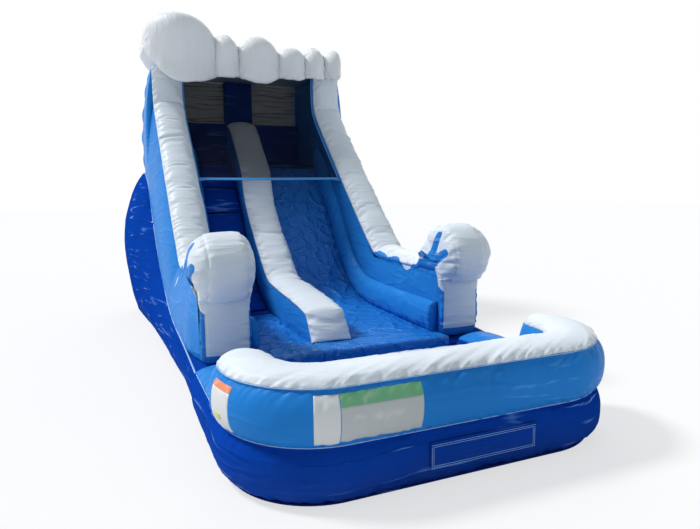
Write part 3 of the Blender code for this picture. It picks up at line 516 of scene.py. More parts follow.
def newMaterial(name):
    material = bpy.data.materials.new(name)
    material.use_nodes = True
    tree = material.node_tree
    return material, tree, node(tree, "ShaderNodeTexCoord")["Object"]


def setShader(tree, values):
    setSockets(tree, tree.nodes["Principled BSDF"].inputs, values)


# The pale colour of each look is painted on its crease lines: a painted highlight along the creases
vinylLooks = {
    "darkBlue": {"colour": (0.002, 0.047, 0.34), "pale": (0.10, 0.28, 0.72), "rough": 0.34, "lines": 0.75,
                 "stretch": (0.7, 0.7, 9.0), "crumple": 0.30, "bump": 0.020, "shine": 0.0, "glint": 0.6,
                 "slot": "dark_blue_vinyl"},
    "lightBlue": {"colour": (0.018, 0.205, 0.60), "pale": (0.10, 0.38, 0.84), "rough": 0.38, "lines": 0.30,
                  "stretch": (1.2, 1.2, 7.0), "crumple": 0.30, "bump": 0.009, "shine": 0.04, "glint": 0.4,
                  "slot": "light_blue_vinyl"},
    # seamCordAndHighlight: pale cord colour, partly real stitching and partly painted highlight along the
    # seams
    "seamCordAndHighlight": {"colour": (0.30, 0.48, 0.78), "pale": (0.62, 0.72, 0.88), "rough": 0.35, "lines": 0.8,
                 "stretch": (14.0, 14.0, 14.0), "crumple": 0.5, "bump": 0.004, "slot": "light_blue_vinyl"},
    "white": {"colour": (0.70, 0.745, 0.79), "pale": (0.80, 0.83, 0.86), "rough": 0.42, "lines": 0.30,
              "stretch": (1.2, 1.2, 9.0), "crumple": 0.32, "bump": 0.007, "slot": "white_vinyl"},
    # crestLitWhite: the same white vinyl painted lighter and warmer on the crest, painted light
    "crestLitWhite": {"colour": (0.78, 0.79, 0.79), "pale": (0.80, 0.83, 0.85), "rough": 0.44, "lines": 0.30,
                   "stretch": (11.0, 1.2, 0.9), "crumple": 0.30, "bump": 0.007, "slot": "white_vinyl"},
    "linerBlue": {"colour": (0.010, 0.165, 0.56), "pale": (0.05, 0.30, 0.76), "rough": 0.27, "lines": 0.55,
                  "stretch": (4.0, 4.0, 4.0), "crumple": 0.85, "bump": 0.045, "shine": 0.20, "glint": 0.6,
                  "slot": "liner_blue_vinyl"},
}
splashLook = {"dark": (0.018, 0.205, 0.60), "light": (0.70, 0.745, 0.79), "edge": 0.004}
dustLook = {"amount": 0.05, "colour": (0.40, 0.42, 0.44)}


# Splash pieces carry a distance to the splash's edge at each point, blue below zero and white above
def makeVinyl(name, look, splashed=False):
    material, tree, place = newMaterial(name)
    creases = node(tree, "ShaderNodeGroup", {"Vector": place, "Crumple": look["crumple"],
                                             "Lines": look["lines"], "Stretch": look["stretch"]},
                   node_tree=creaseGroup)
    dust = node(tree, "ShaderNodeGroup", {"Vector": place, "Amount": dustLook["amount"]}, node_tree=dustGroup)
    main = look["colour"]
    if splashed:
        distance = node(tree, "ShaderNodeAttribute", attribute_name="splash")["Fac"]
        white = softStep(tree, distance, -splashLook["edge"], splashLook["edge"])
        main = mixColour(tree, white, splashLook["dark"], splashLook["light"])
    # Crease lines painted in the pale colour: painted highlight
    tone = mixColour(tree, creases["Crease"], main, look["pale"])
    shade = mathNode(tree, "MULTIPLY_ADD", creases["Patches"], 0.24, 0.88)
    tone = node(tree, "ShaderNodeVectorMath", {0: tone, "Scale": shade}, operation="SCALE")[0]
    setShader(tree, {
        "Base Color": mixColour(tree, dust["Mask"], tone, dustLook["colour"]),
        "Roughness": mathNode(tree, "MULTIPLY_ADD", creases["Patches"], 0.18, look["rough"] - 0.09),
        "Normal": bumpNode(tree, creases["Height"], 0.55, look["bump"]),
        "Specular IOR Level": look.get("shine", 0.12),
        "Coat Weight": mathNode(tree, "MULTIPLY", creases["Crease"], look.get("glint", 0.0)),
        "Coat Roughness": 0.25})
    return material


finishes = {key: (makeVinyl(f"{key}Vinyl", look), look["slot"]) for key, look in vinylLooks.items()}
finishes["wallSplash"] = (makeVinyl("wallSplashVinyl", vinylLooks["lightBlue"], True), "light_blue_vinyl")
finishes["whiteSplash"] = (makeVinyl("whiteSplashVinyl", vinylLooks["white"], True), "white_vinyl")


# Open mesh: a weave that lets part of the light through, darker in its folds
def makeMeshCloth(name, colour, solid, slotName):
    material, tree, place = newMaterial(name)
    weave = node(tree, "ShaderNodeTexBrick", {
        "Vector": node(tree, "ShaderNodeUVMap", uv_map="seamMap")[0], "Scale": 160.0, "Mortar Size": 0.12,
        "Brick Width": 1.0, "Row Height": 1.0}, offset=0.0)["Fac"]
    folds = node(tree, "ShaderNodeGroup", {"Vector": place, "Lines": 1.0, "Stretch": (0.6, 0.6, 15.0)},
                 node_tree=creaseGroup)["Height"]
    shadow = tuple(part * 0.35 for part in colour)
    setShader(tree, {
        "Base Color": mixColour(tree, softStep(tree, folds, 0.72, 1.20), colour, shadow),
        "Alpha": mathNode(tree, "MULTIPLY_ADD", weave, 0.22, solid),
        "Normal": bumpNode(tree, folds, 0.5, 0.02), "Roughness": 0.7, "Specular IOR Level": 0.02})
    finishes[name] = (material, slotName)


def makeWebbing(name, colour, slotName):
    material, tree, place = newMaterial(name)
    weave = node(tree, "ShaderNodeTexWave", {"Vector": place, "Scale": 130.0}, wave_type="BANDS",
                 bands_direction="DIAGONAL")["Fac"]
    setShader(tree, {
        "Base Color": mixColour(tree, weave, tuple(part * 0.8 for part in colour), colour),
        "Normal": bumpNode(tree, weave, 1.0, 0.001), "Roughness": 0.62})
    finishes[name] = (material, slotName)


makeMeshCloth("blackMesh", (0.010, 0.0105, 0.011), 0.26, "black_mesh")
makeMeshCloth("greyMesh", (0.66, 0.635, 0.57), 0.80, "grey_mesh")
makeWebbing("webbing", (0.05, 0.30, 0.72), "webbing_blue")
makeWebbing("zipTape", (0.012, 0.012, 0.014), "zip_black")
print("stage: materials")

# Pool: base tube, wall band and rim, all carried round the same plan line
pool = {
    "halfWidth": 1.73, "radius": 0.78, "thickness": 0.52, "seamInset": 0.04, "footInset": 0.09, "band": 0.412,
    "rimCrown": 0.080, "rimLean": 0.022, "armEnd": -3.1281, "endRound": 0.26, "step": 0.016, "swell": 0.020,
    "lowSwell": 0.006, "sidePoints": 26, "flatPoints": 8, "rimPoints": 36,
    "zipX": (-0.40, 0.66), "zipZ": (0.115, 0.385), "zipBlend": 0.07,
    "baseTop": (0.055, 0.0075), "baseFoot": (0.07, 0.012),
    "bandTop": (0.06, 0.0075), "bandFoot": (0.06, 0.0085), "rimGathers": ((0.10, 0.011), (0.07, 0.009)),
    "baseAir": (0.05, 0.014), "bandAir": (0.04, 0.016), "rimAir": (0.05, 0.012),
}


def poolLine(endY, step):
    half, radius, front = pool["halfWidth"], pool["radius"], slide["poolFront"]
    points = [(-half, endY)]
    for side, start in ((-1, pi), (1, 1.5 * pi)):
        for angle in start + np.linspace(0, pi / 2, 40):
            x = side * (half - radius) + radius * cos(angle)
            points.append((x, front + radius + radius * sin(angle)))
    points.append((half, endY))
    return spaced(points, step)


baseLine = poolLine(slide["deck"] - slide["gap"], pool["step"])
rimLine = poolLine(pool["armEnd"], pool["step"])


def poolGrid(line, base, depth, height, roundEnds=False):
    inward = lineNormals(line)
    share = np.ones(len(line))
    if roundEnds:
        along = lengths(line)
        near = np.clip(1 - np.minimum(along, along[-1] - along) / pool["endRound"], 0, 1)
        share = np.sqrt(np.clip(1 - near ** 2.4, 0.02, 1))
    middle = pool["thickness"] / 2
    place = middle + (depth - middle) * share[:, None]
    x, y = [line[:, c:c + 1] + inward[:, c:c + 1] * place for c in (0, 1)]
    return gridOf(x, y, base + height), share


# A tube's section as depth from the outside and height: outer side, top, inner side, underside
def tubeSection(tall, lowInset, highInset, swell):
    t, thickness = eased(pool["sidePoints"]), pool["thickness"]
    low = lowInset * np.clip(1 - t / 0.5, 0, 1) ** 2.6
    high = highInset * np.clip((t - 0.5) / 0.5, 0, 1) ** 2.8
    depth, height = low + high - swell * np.sin(pi * t) ** 0.8, tall * t
    top = np.linspace(highInset, thickness - highInset, pool["flatPoints"] + 2)[1:-1]
    under = np.linspace(thickness - lowInset, lowInset, pool["flatPoints"] + 2)[1:-1]
    return (np.concatenate((depth, top, thickness - depth[::-1], under)),
            np.concatenate((height, np.full(len(top), tall), height[::-1], np.zeros(len(under)))))


# Relief of a tube's outer and inner side, from the run along them, the height and a seed
def tubeRise(grid, heights, seeds, relief):
    rise = np.zeros(grid.shape[:2])
    for start, seed in zip((0, pool["sidePoints"] + pool["flatPoints"]), seeds):
        end = start + pool["sidePoints"]
        s, _ = panelRuns(grid, start, pool["sidePoints"])
        rise[:, start:end] = relief(s, heights[start:end], seed)
    return rise


def outside(values, low, high):
    return np.clip(np.abs(values - (low + high) / 2) - (high - low) / 2, 0, 9)


# The front of the tube stays flat round the drain zip
def makeBaseTube():
    tall = slide["seamHeight"] - slide["ground"] - slide["gap"]
    depths, heights = tubeSection(tall, pool["footInset"] + 0.03, pool["seamInset"], pool["lowSwell"])
    grid, _ = poolGrid(baseLine, slide["ground"], depths, heights)

    def relief(s, z, seed):
        return (gathers(s, tall - z, *pool["baseTop"], seed) + gathers(s, z, *pool["baseFoot"], seed + 7)
                + wrinkles(s, z, 0.075, 0.006, seed + 11))

    offset = np.hypot(outside(grid[:, :, 0], *pool["zipX"]), outside(grid[:, :, 2], *pool["zipZ"]))
    free = smooth(np.clip(offset / pool["zipBlend"], 0, 1))
    free = np.where(grid[:, :, 1] < slide["poolFront"] + 0.1, free, 1)
    grid = raised(grid, tubeRise(grid, heights, (11, 31), relief))
    pressed = np.maximum(grid[:, :, 1], slide["poolFront"] + 0.001)
    grid[:, :, 1] = pressed + (grid[:, :, 1] - pressed) * free
    held = np.ones(grid.shape[:2], bool)
    held[:, 1:pool["sidePoints"] - 1] = free[:, 1:pool["sidePoints"] - 1] < 1
    grid = inflate("baseTube", grid, held, *pool["baseAir"])
    addPiece("baseTube", grid, "darkBlue", "pool_base_tube")


def makeWallBand():
    tall, count = pool["band"] - slide["gap"], pool["sidePoints"]
    depths, heights = tubeSection(tall, pool["seamInset"], pool["seamInset"], pool["swell"])
    grid, share = poolGrid(rimLine, slide["seamHeight"] + slide["gap"], depths, heights, True)

    def relief(s, z, seed):
        return (gathers(s, tall - z, *pool["bandTop"], seed) + gathers(s, z, *pool["bandFoot"], seed + 7)
                + 0.004 * noiseField(s * 2.2, z * 3, seed + 3))

    grid = raised(grid, tubeRise(grid, heights, (51, 71), relief) * share[:, None])
    inner = count + pool["flatPoints"]
    held = heldSeams(grid, (1, count - 1), (inner + 1, inner + count - 1))
    grid = inflate("wallBand", grid, held, *pool["bandAir"])
    addPiece("wallBand", grid, "lightBlue", "pool_wall_band")
    return grid, heights[:count]


def makeRimCap():
    t, count = eased(pool["rimPoints"]), pool["rimPoints"]
    under = np.linspace(1, 0, 10)[1:-1]
    inset, wide = pool["seamInset"], pool["thickness"] - 2 * pool["seamInset"]
    depths = np.concatenate((inset + wide * t, inset + wide * under))
    depths[:count] -= pool["rimLean"] * np.cos(pi * t) * np.sin(pi * t) ** 0.5
    heights = np.concatenate((pool["rimCrown"] * np.sin(pi * t) ** 0.58, np.zeros(len(under))))
    base = slide["seamHeight"] + pool["band"] + slide["gap"]
    grid, share = poolGrid(rimLine, base, depths, heights, True)
    grid[:, :count, 2] = base + (grid[:, :count, 2] - base) * (0.35 + 0.65 * share[:, None])
    s, a = panelRuns(grid, 0, count)
    rise = bothGathers(s, a, *pool["rimGathers"], (91, 97)) + 0.006 * noiseField(s * 3.0, a * 6, 99)
    grid = raised(grid, rise * share[:, None])
    grid = inflate("rimCap", grid, heldSeams(grid, (1, count - 1)), *pool["rimAir"])
    addPiece("rimCap", grid, "white", "pool_rim_cap")
    return grid


makeBaseTube()
bandGrid, bandHeights = makeWallBand()
rimGrid = makeRimCap()
print("stage: pool")

# Low bumpers at the side exits
bumper = {"inner": 1.25, "outer": 1.69, "height": 0.10, "gathers": (0.06, 0.007), "points": 28}


def makeBumpers():
    start, end = pool["armEnd"] + slide["gap"], slide["deck"] - slide["gap"]
    y = np.linspace(start, end, 70)[:, None]
    size = 0.55 + 0.45 * np.sin(pi * np.clip((y - start) / (end - start), 0, 1)) ** 0.4
    t = eased(bumper["points"])
    share = np.concatenate((t, np.linspace(1, 0, 8)[1:-1]))
    z = np.concatenate((np.sin(pi * t) ** 0.5, np.zeros(6)))
    for word, side in sides:
        x = side * (bumper["outer"] + (bumper["inner"] - bumper["outer"]) * share)
        grid = gridOf(x, y, slide["seamHeight"] + slide["gap"] + bumper["height"] * z * size)
        s, a = panelRuns(grid, 0, len(t))
        grid = raised(grid, gathers(s, nearestEdge(a), *bumper["gathers"], 120 + side))
        addPiece(f"exitBumper{word}", grid, "lightBlue", f"exit_bumper_{word.lower()}")


makeBumpers()

# Hull: the dark blue chamber under deck, slope and platform
hull = {
    "up": (1.0, 0.95, 0.86, 0.66, 0.44, 0.22, 0.10, 0.0),
    "bulge": (0.0, 0.26, 0.54, 0.90, 1.0, 0.82, 0.42, 0.0),
    "foot": (0.0, 0.0, 0.0, 0.0, 0.0, 0.0, 0.55, 1.0),
    "step": 0.035, "points": 44, "rearBulge": 0.22, "rings": 16, "rearMiddle": 1.25, "channel": 0.49,
    "seamGathers": (0.09, 0.011), "footGathers": (0.06, 0.010),
}


def makeHull():
    seam, top = chaikin(seamPoints(), 2), slopeLine()
    y = np.concatenate((np.arange(slide["deck"], slide["rear"], hull["step"]), (slide["rear"],)))
    share = (y - slide["deck"]) / (slide["rear"] - slide["deck"])
    bulge = slide["hullBulge"] * np.interp(share, seamTable["run"], seamTable["bulge"])
    foot = slide["footHalf"] + slide["hullBulge"] * np.interp(share, seamTable["run"], seamTable["foot"])
    table = chaikin(np.column_stack((hull["up"], hull["bulge"], hull["foot"])), 3)
    table = spaced(table, lengths(table)[-1] / hull["points"])
    stations = [(*row, 0.0) for row in zip(y, heightOn(seam, y), heightOn(top, y), bulge, foot)]
    _, seamEnd, topEnd, bulgeEnd, footEnd, _ = stations[-1]
    for angle in np.linspace(0, pi / 2, 10)[1:]:
        drop = hull["rearBulge"] / 2 * (1 - cos(angle))
        stations.append((slide["rear"] + hull["rearBulge"] * sin(angle), seamEnd - drop, topEnd - drop,
                         bulgeEnd, footEnd, drop))
    rows = []
    for place, seamHere, topHere, out, footHere, inset in stations:
        x = slide["seamHalf"] + out * table[:, 1] + (footHere - slide["seamHalf"]) * table[:, 2] - inset
        z = slide["ground"] + (seamHere - slide["ground"]) * table[:, 0]
        inner = slide["laneHalf"] - 0.004 - inset
        sideX = np.concatenate(((inner, inner), x))
        sideZ = np.concatenate(((topHere, min(topHere, seamHere) - 0.03), z))
        flatX = np.linspace(x[-1], -x[-1], 14)[1:-1]
        loopX = np.concatenate((sideX, flatX, -sideX[::-1]))
        loopZ = np.concatenate((sideZ, np.full(len(flatX), slide["ground"]), sideZ[::-1]))
        rows.append(np.column_stack((loopX, np.full(len(loopX), place), loopZ)))
    last = rows[-1]
    centre = np.array((0.0, last[0, 1], hull["rearMiddle"]))
    for k in range(1, hull["rings"]):
        share = 1 - k / hull["rings"]
        ring = centre + (last - centre) * share
        channels = np.abs(np.sin(pi * ring[:, 2] / hull["channel"])) ** 0.6
        ring[:, 1] += 0.012 * (1 - share) + 0.030 * channels * (1 - share ** 6)
        rows.append(ring)
    grid = np.array(rows)
    count = len(table)
    rise = np.zeros(grid.shape[:2])
    for start, seed in ((2, 201), (14 + count, 231)):
        s, away = panelRuns(grid, start, count)
        if start > 2:
            away = away[:, -1:] - away
        z = grid[:, start:start + count, 2]
        rise[:, start:start + count] = (
            gathers(s, away, *hull["seamGathers"], seed) + gathers(s, z, *hull["footGathers"], seed + 9)
            + wrinkles(s, z, 0.16, 0.010, seed + 13) + 0.010 * noiseField(s * 1.1, z * 2.0, seed + 17))
    rise[len(stations):] *= 0.5
    grid = raised(grid, rise)
    grid[:, :, 2] = np.maximum(grid[:, :, 2], slide["ground"])
    stands = ("slide_hull", "platform_baffle_front", "platform_baffle_rear")
    addPiece("hull", grid, "darkBlue", stands)


makeHull()
print("stage: hull")

# Splash motif on the walls' sides: tapered drops, each from one place to another with two radii
splash = {
    "blue": (((-1.46, 1.20), (-1.74, 1.22), 0.10, 0.11), ((-1.58, 1.25), (-1.645, 1.46), 0.075, 0.014),
             ((-1.78, 1.25), (-1.93, 1.63), 0.085, 0.046), ((-1.82, 1.30), (-2.09, 1.44), 0.075, 0.050)),
    "drop": ((-0.38, 1.10), (-0.345, 1.01), 0.022, 0.012),
    "edge": ((-1.50, 1.290), (-1.40, 1.262), (-1.35, 1.215), (-1.31, 1.235), (-1.27, 1.200), (-1.22, 1.150),
             (-1.16, 1.128), (-1.09, 1.140), (-1.02, 1.190), (-0.95, 1.240), (-0.88, 1.262), (-0.78, 1.266),
             (-0.66, 1.250), (-0.60, 1.226), (-0.54, 1.256), (-0.40, 1.268), (-0.20, 1.270), (4.0, 1.270)),
    "outerY": (-1.50, -0.60, -0.50, -0.42, -0.30, 4.0),
    "outerLow": (0.115, 0.106, 0.080, 0.010, -0.05, -0.05),
    "blueTop": 1.255, "base": 0.555, "capLow": 0.066, "innerEnd": -0.40, "capEnd": -0.28,
    "faceZ": (0.86, 0.98, 1.08, 1.20, 1.34), "faceY": (-2.16, -2.015, -1.92, -1.87, -1.88),
}


def dropDistance(y, z, start, end, firstRadius, lastRadius):
    run = (end[0] - start[0], end[1] - start[1])
    t = ((y - start[0]) * run[0] + (z - start[1]) * run[1]) / (run[0] ** 2 + run[1] ** 2)
    t = np.clip(t, 0, 1)
    away = np.hypot(y - start[0] - run[0] * t, z - start[1] - run[1] * t)
    return away - (firstRadius + (lastRadius - firstRadius) * t)


def softLeast(first, second, blend=0.03):
    h = np.clip(0.5 + 0.5 * (second - first) / blend, 0, 1)
    return second + (first - second) * h - blend * h * (1 - h)


def splashDistance(y, z):
    face = np.interp(z, splash["faceZ"], splash["faceY"]) + 0.012 * noiseLine(z * 16, 43)
    blue = np.maximum(z - splash["blueTop"], face - y)
    for drop in splash["blue"]:
        blue = softLeast(blue, dropDistance(y, z, *drop))
    return blue


def edgeHeight(y):
    return heightOn(softLine(splash["edge"], 3, 0.01), y)


def addSplash(piece, values):
    layer = piece.data.attributes.new("splash", "FLOAT", "POINT")
    layer.data.foreach_set("value", np.asarray(values, np.float32).ravel())


# Side walls and rear columns
wall = {
    "outerSwell": 0.07, "innerSwell": 0.032, "rows": 230, "columns": 40, "columnCrown": 0.055, "channels": 4,
    "stations": (0, 0.16, 0.50, 1), "outerShare": (0.0, 0.3, 0.8, 1, 1, 1, 1, 1, 1, 0.5),
    "innerShare": (0.0, 0.5, 1, 1, 1, 1, 1, 0.6, 0.0, 0.0), "flatFrom": -1.45, "flatRun": 0.42,
    "columnPoints": 40, "between": 1.3, "gathers": ((0.07, 0.009), (0.07, 0.008)),
    "columnGathers": (0.05, 0.009),
}


def makeWalls():
    bottom, top, t = seamPoints(), wallTopPoints(), eased(wall["columns"])
    bottom[0] = (slide["wallFront"], heightOn(bottom, slide["wallFront"]) + 0.004)
    bottom[-1] = (slide["rearWall"], heightOn(bottom, slide["rearWall"]))
    key = np.arange(len(bottom))
    place = np.interp(np.linspace(0, 1, wall["rows"]), wall["stations"], (0, 1, 2, len(bottom) - 1))
    low, high = pointsAt(place, key, bottom), pointsAt(place, key, top)
    for _ in range(2):
        low[1:-1] = (low[:-2] + low[1:-1] * 2 + low[2:]) / 4
    outSwell = wall["outerSwell"] * np.interp(place, key, wall["outerShare"])[:, None]
    inSwell = wall["innerSwell"] * np.interp(place, key, wall["innerShare"])[:, None]
    floor = np.minimum(heightOn(slopeLine(), low[:, 0]), low[:, 1])[:, None] + 0.03
    lowY, lowZ, highY, highZ = low[:, :1], low[:, 1:], high[:, :1], high[:, 1:]
    y = lowY + (highY - lowY) * t
    x = slide["seamHalf"] + (slide["wallOuter"] - slide["seamHalf"]) * t + outSwell * np.sin(pi * t) ** 0.7
    near = np.clip((wall["flatFrom"] - y) / wall["flatRun"], 0, 1) ** 1.5
    x -= near * np.clip(x - slide["wallOuter"] - 0.022, 0, 1)
    outer = gridOf(x, y, lowZ + 0.002 + (highZ - lowZ - 0.002) * t)
    x = slide["laneHalf"] - inSwell * np.sin(pi * np.clip((t - 0.35) / 0.6, 0, 1))
    both = sheetGrid(outer, gridOf(x, y, floor + (highZ - floor) * t))
    for word, side in sides:
        grid = both * (side, 1, 1)
        rise = np.zeros(grid.shape[:2])
        for start, seed in ((0, 301 + side), (len(t), 331 + side)):
            s, a = panelRuns(grid, start, len(t))
            rise[:, start:start + len(t)] = (
                bothGathers(s, a, *wall["gathers"], (seed, seed + 5))
                + 0.008 * noiseField(s * 1.5, a * 2.2, seed + 9))
        grid = raised(grid, rise)
        piece = addPiece(f"sideWall{word}", grid, "wallSplash", f"{word.lower()}_side_wall")
        wallY, wallZ = grid[:, :, 1], grid[:, :, 2]
        inner = np.minimum(wallZ - edgeHeight(wallY), splash["innerEnd"] - wallY)
        onOuter = np.abs(grid[:, :, 0]) > wall["between"]
        addSplash(piece, np.where(onOuter, -dropDistance(wallY, wallZ, *splash["drop"]), inner))
        makeColumn(word, side)


# Distance to the nearest seam between level channels
def channelAway(z, low, pitch):
    return np.abs((z - low + pitch / 2) % pitch - pitch / 2)[:, None]


def makeColumn(word, side):
    low = float(heightOn(seamPoints(), slide["rear"])) + slide["gap"]
    z = np.linspace(low, slide["wallTop"] - slide["gap"], 120)
    t = (z - low) / (z[-1] - low)
    crown = wall["columnCrown"] * np.abs(np.sin(pi * wall["channels"] * t)) ** 0.6
    outer = slide["seamHalf"] + (slide["wallOuter"] - slide["seamHalf"]) * t
    outer = outer + 0.06 * np.sin(pi * t) - 0.05 + crown
    inner, front = slide["laneHalf"] + slide["gap"], slide["rearWall"] + slide["gap"]
    back = slide["rear"] + crown - 0.004
    rows = []
    for k, height in enumerate(z):
        corners = chaikin(((inner + 0.2, front), (outer[k], front), (outer[k], back[k]), (inner, back[k])), 3)
        corners = spaced(np.vstack(((inner, front), corners)), 0.03)
        corners = corners[np.linspace(0, len(corners) - 1, wall["columnPoints"]).astype(int)]
        rows.append(np.column_stack((side * corners[:, 0], corners[:, 1], np.full(len(corners), height))))
    grid = np.array(rows)
    _, across = runs(grid)
    away = channelAway(z, low, (z[-1] - low) / wall["channels"])
    grid = raised(grid, gathers(across + 3.0, away, *wall["columnGathers"], 351 + side))
    addPiece(f"rearColumn{word}", grid, "lightBlue", f"{word.lower()}_rear_column")


makeWalls()
print("stage: walls")

# White caps on the walls, with a few soft folds each: place, width and depth
caps = {
    "depth": 0.115, "edge": 0.30, "overhang": 0.004, "step": 0.016, "headEnd": -1.433, "corner": 0.14,
    "gathers": (0.09, 0.010), "air": (0.05, 0.018),
    "Left": ((0.62, 0.05, 0.010), (1.35, 0.06, 0.008), (3.55, 0.05, 0.016), (3.68, 0.04, 0.014),
             (3.82, 0.05, 0.010)),
    "Right": ((0.35, 0.05, 0.009), (1.50, 0.05, 0.008), (3.58, 0.05, 0.016), (3.72, 0.04, 0.013),
              (3.95, 0.05, 0.008)),
}


def capLine(step):
    top = wallTopPoints()
    points = np.array(((caps["headEnd"], slide["shelf"]), top[2], top[6], (top[7][0], slide["wallTop"])))
    return roundedLine(points, caps["corner"], step)


def makeCaps():
    low, high = slide["laneHalf"] - caps["overhang"], slide["wallOuter"] + caps["overhang"]
    x, h = crownSection(0.0, 1.0, caps["depth"], caps["edge"], 0.55)
    swell = np.sin(pi * x[1:1 + crownCount]) ** 0.5
    for word, side in sides:
        grid = sweepGrid(capLine(caps["step"]), side * (low + (high - low) * x), h + slide["gap"])
        s, a = panelRuns(grid, 1, crownCount)
        rise = gathers(s, nearestEdge(a), *caps["gathers"], 401 + side)
        rise += 0.006 * noiseField(s * 5.0, a * 2.0, 405 + side)
        slant = s + 0.10 * (a - 0.25) + 0.02 * noiseLine(a * 9, 407)
        for place in caps[word]:
            rise += fold(slant, *place) * swell
        grid = raised(grid, rise, 1)
        grid = inflate(f"wallCap{word}", grid, heldSeams(grid, (2, crownCount)), *caps["air"])
        piece = addPiece(f"wallCap{word}", grid, "whiteSplash", f"{word.lower()}_wall_cap")
        y = grid[:, :, 1]
        most = splash["capLow"] - 0.5 * np.clip(y - splash["capEnd"], 0, 1)
        limit = np.clip(edgeHeight(y) - slide["shelf"], -0.1, most)
        onOuter = np.abs(grid[:, :, 0]) > (slide["laneHalf"] + slide["wallOuter"]) / 2
        limit = np.where(onOuter, np.interp(y, splash["outerY"], splash["outerLow"]), limit)
        limit[:, crownCount + 2:] = -1
        addSplash(piece, h - limit)


makeCaps()

# Sewn cords in the long seams: thin round strips of radius, each beside its seam by the offset. Their pale
# colour is partly the real pale stitching and partly a painted highlight along the seams, most on the thick
# hull cords
cords = {
    "pool": 0.0045, "poolOffset": -0.0035, "cap": 0.0055, "capOffset": 0.003, "hull": 0.009,
    "hullOffset": 0.006,
}


def makeCord(name, points, radius, aside, finish="seamCordAndHighlight"):
    along = unit(np.gradient(points, axis=0))
    first = unit(np.cross(along, aside))
    second = np.cross(first, along)
    angle = np.linspace(0, 2 * pi, 10)[:-1][None, :, None]
    grid = points[:, None] + radius * (np.cos(angle) * first[:, None] + np.sin(angle) * second[:, None])
    addPiece(name, grid, finish)


def sideCord(name, x, line, radius, finish="seamCordAndHighlight"):
    makeCord(name, np.column_stack((np.full(len(line), x), line)), radius, (1, 0, 0), finish)


def makeCords():
    depth = np.array([pool["seamInset"] + cords["poolOffset"]])
    for name, line, height, ends in (
            ("poolSeamCord", baseLine, slide["seamHeight"], False),
            ("rimSeamCord", rimLine, slide["seamHeight"] + pool["band"], True)):
        grid, _ = poolGrid(line, height, depth, np.array([0.0]), ends)
        makeCord(name, grid[2:-2, 0], cords["pool"], (0, 0, 1))
    for word, side in sides:
        for place, x in (("Inner", slide["laneHalf"] - cords["capOffset"]),
                         ("Outer", slide["wallOuter"] + cords["capOffset"])):
            sideCord(f"cap{place}Cord{word}", side * x, capLine(0.03)[:-1], cords["cap"], "lightBlue")
    # Thick pale cords on the hull seams: a painted highlight along the seam
    for word, side in sides:
        x = side * (slide["seamHalf"] + cords["hullOffset"])
        sideCord(f"hullSeamCord{word}", x, softLine(seamPoints(), 2, 0.03), cords["hull"])


makeCords()

# White wave fronts: a padded column with a round head that leans forward
waveFront = {
    "headRadius": 0.34, "headForward": 0.24, "headLength": 0.475, "headTop": 1.728, "base": 0.4693,
    "front": ((-2.028, 1.12), (-2.018, 1.00), (-2.021, 0.74), (-2.010, 0.53), (-1.975, 0.4693)),
    "sideSwell": (0.016, 0.036), "outerSwell": 0.02, "headSwell": 0.045, "frontSwell": 0.020,
    "headShare": {"Left": (1.6, 0.6), "Right": (0.3, 2.5)}, "edge": (0.010, 0.038), "wallEdge": 0.004,
    "sideRows": 26, "frontRows": 28, "waist": 1.11, "waistFold": (0.030, 0.016),
    "gathers": (0.08, 0.011), "air": (0.05, 0.022),
}


def waveOutline():
    w, back = waveFront, slide["wallFront"] - slide["gap"]
    headBack, shelf = slide["wallFront"] + w["headLength"], slide["shelf"] + slide["gap"]
    centre = (slide["column"] + w["headRadius"] - w["headForward"] + 0.03, w["headTop"] - w["headRadius"])
    outline = [(back, w["base"]), (back, shelf - 0.004), (back + 0.004, shelf), (headBack, shelf),
               (headBack + 0.004, shelf + 0.05)]
    for angle in pi * (0.14 + 1.14 * np.linspace(0, 1, 40)):
        outline.append((centre[0] + w["headRadius"] * cos(angle), centre[1] + w["headRadius"] * sin(angle)))
    outline += [tuple(p) for p in chaikin(w["front"], 2)]
    return spaced([*outline, outline[0]], 0.016)[:-1], centre


# Rows of one side face, from its middle spine out to its seam
def sideRows(line, spine, x, way, edge, swell):
    rows = []
    for share in np.linspace(0.96, 0.0, waveFront["sideRows"]) ** 1.3:
        out = swell * (1 - (1 - share) ** 3.4)
        place = x + way * edge * (1 - share) ** 8 - way * out
        rows.append(np.column_stack((place, line + (spine - line) * share)))
    return rows


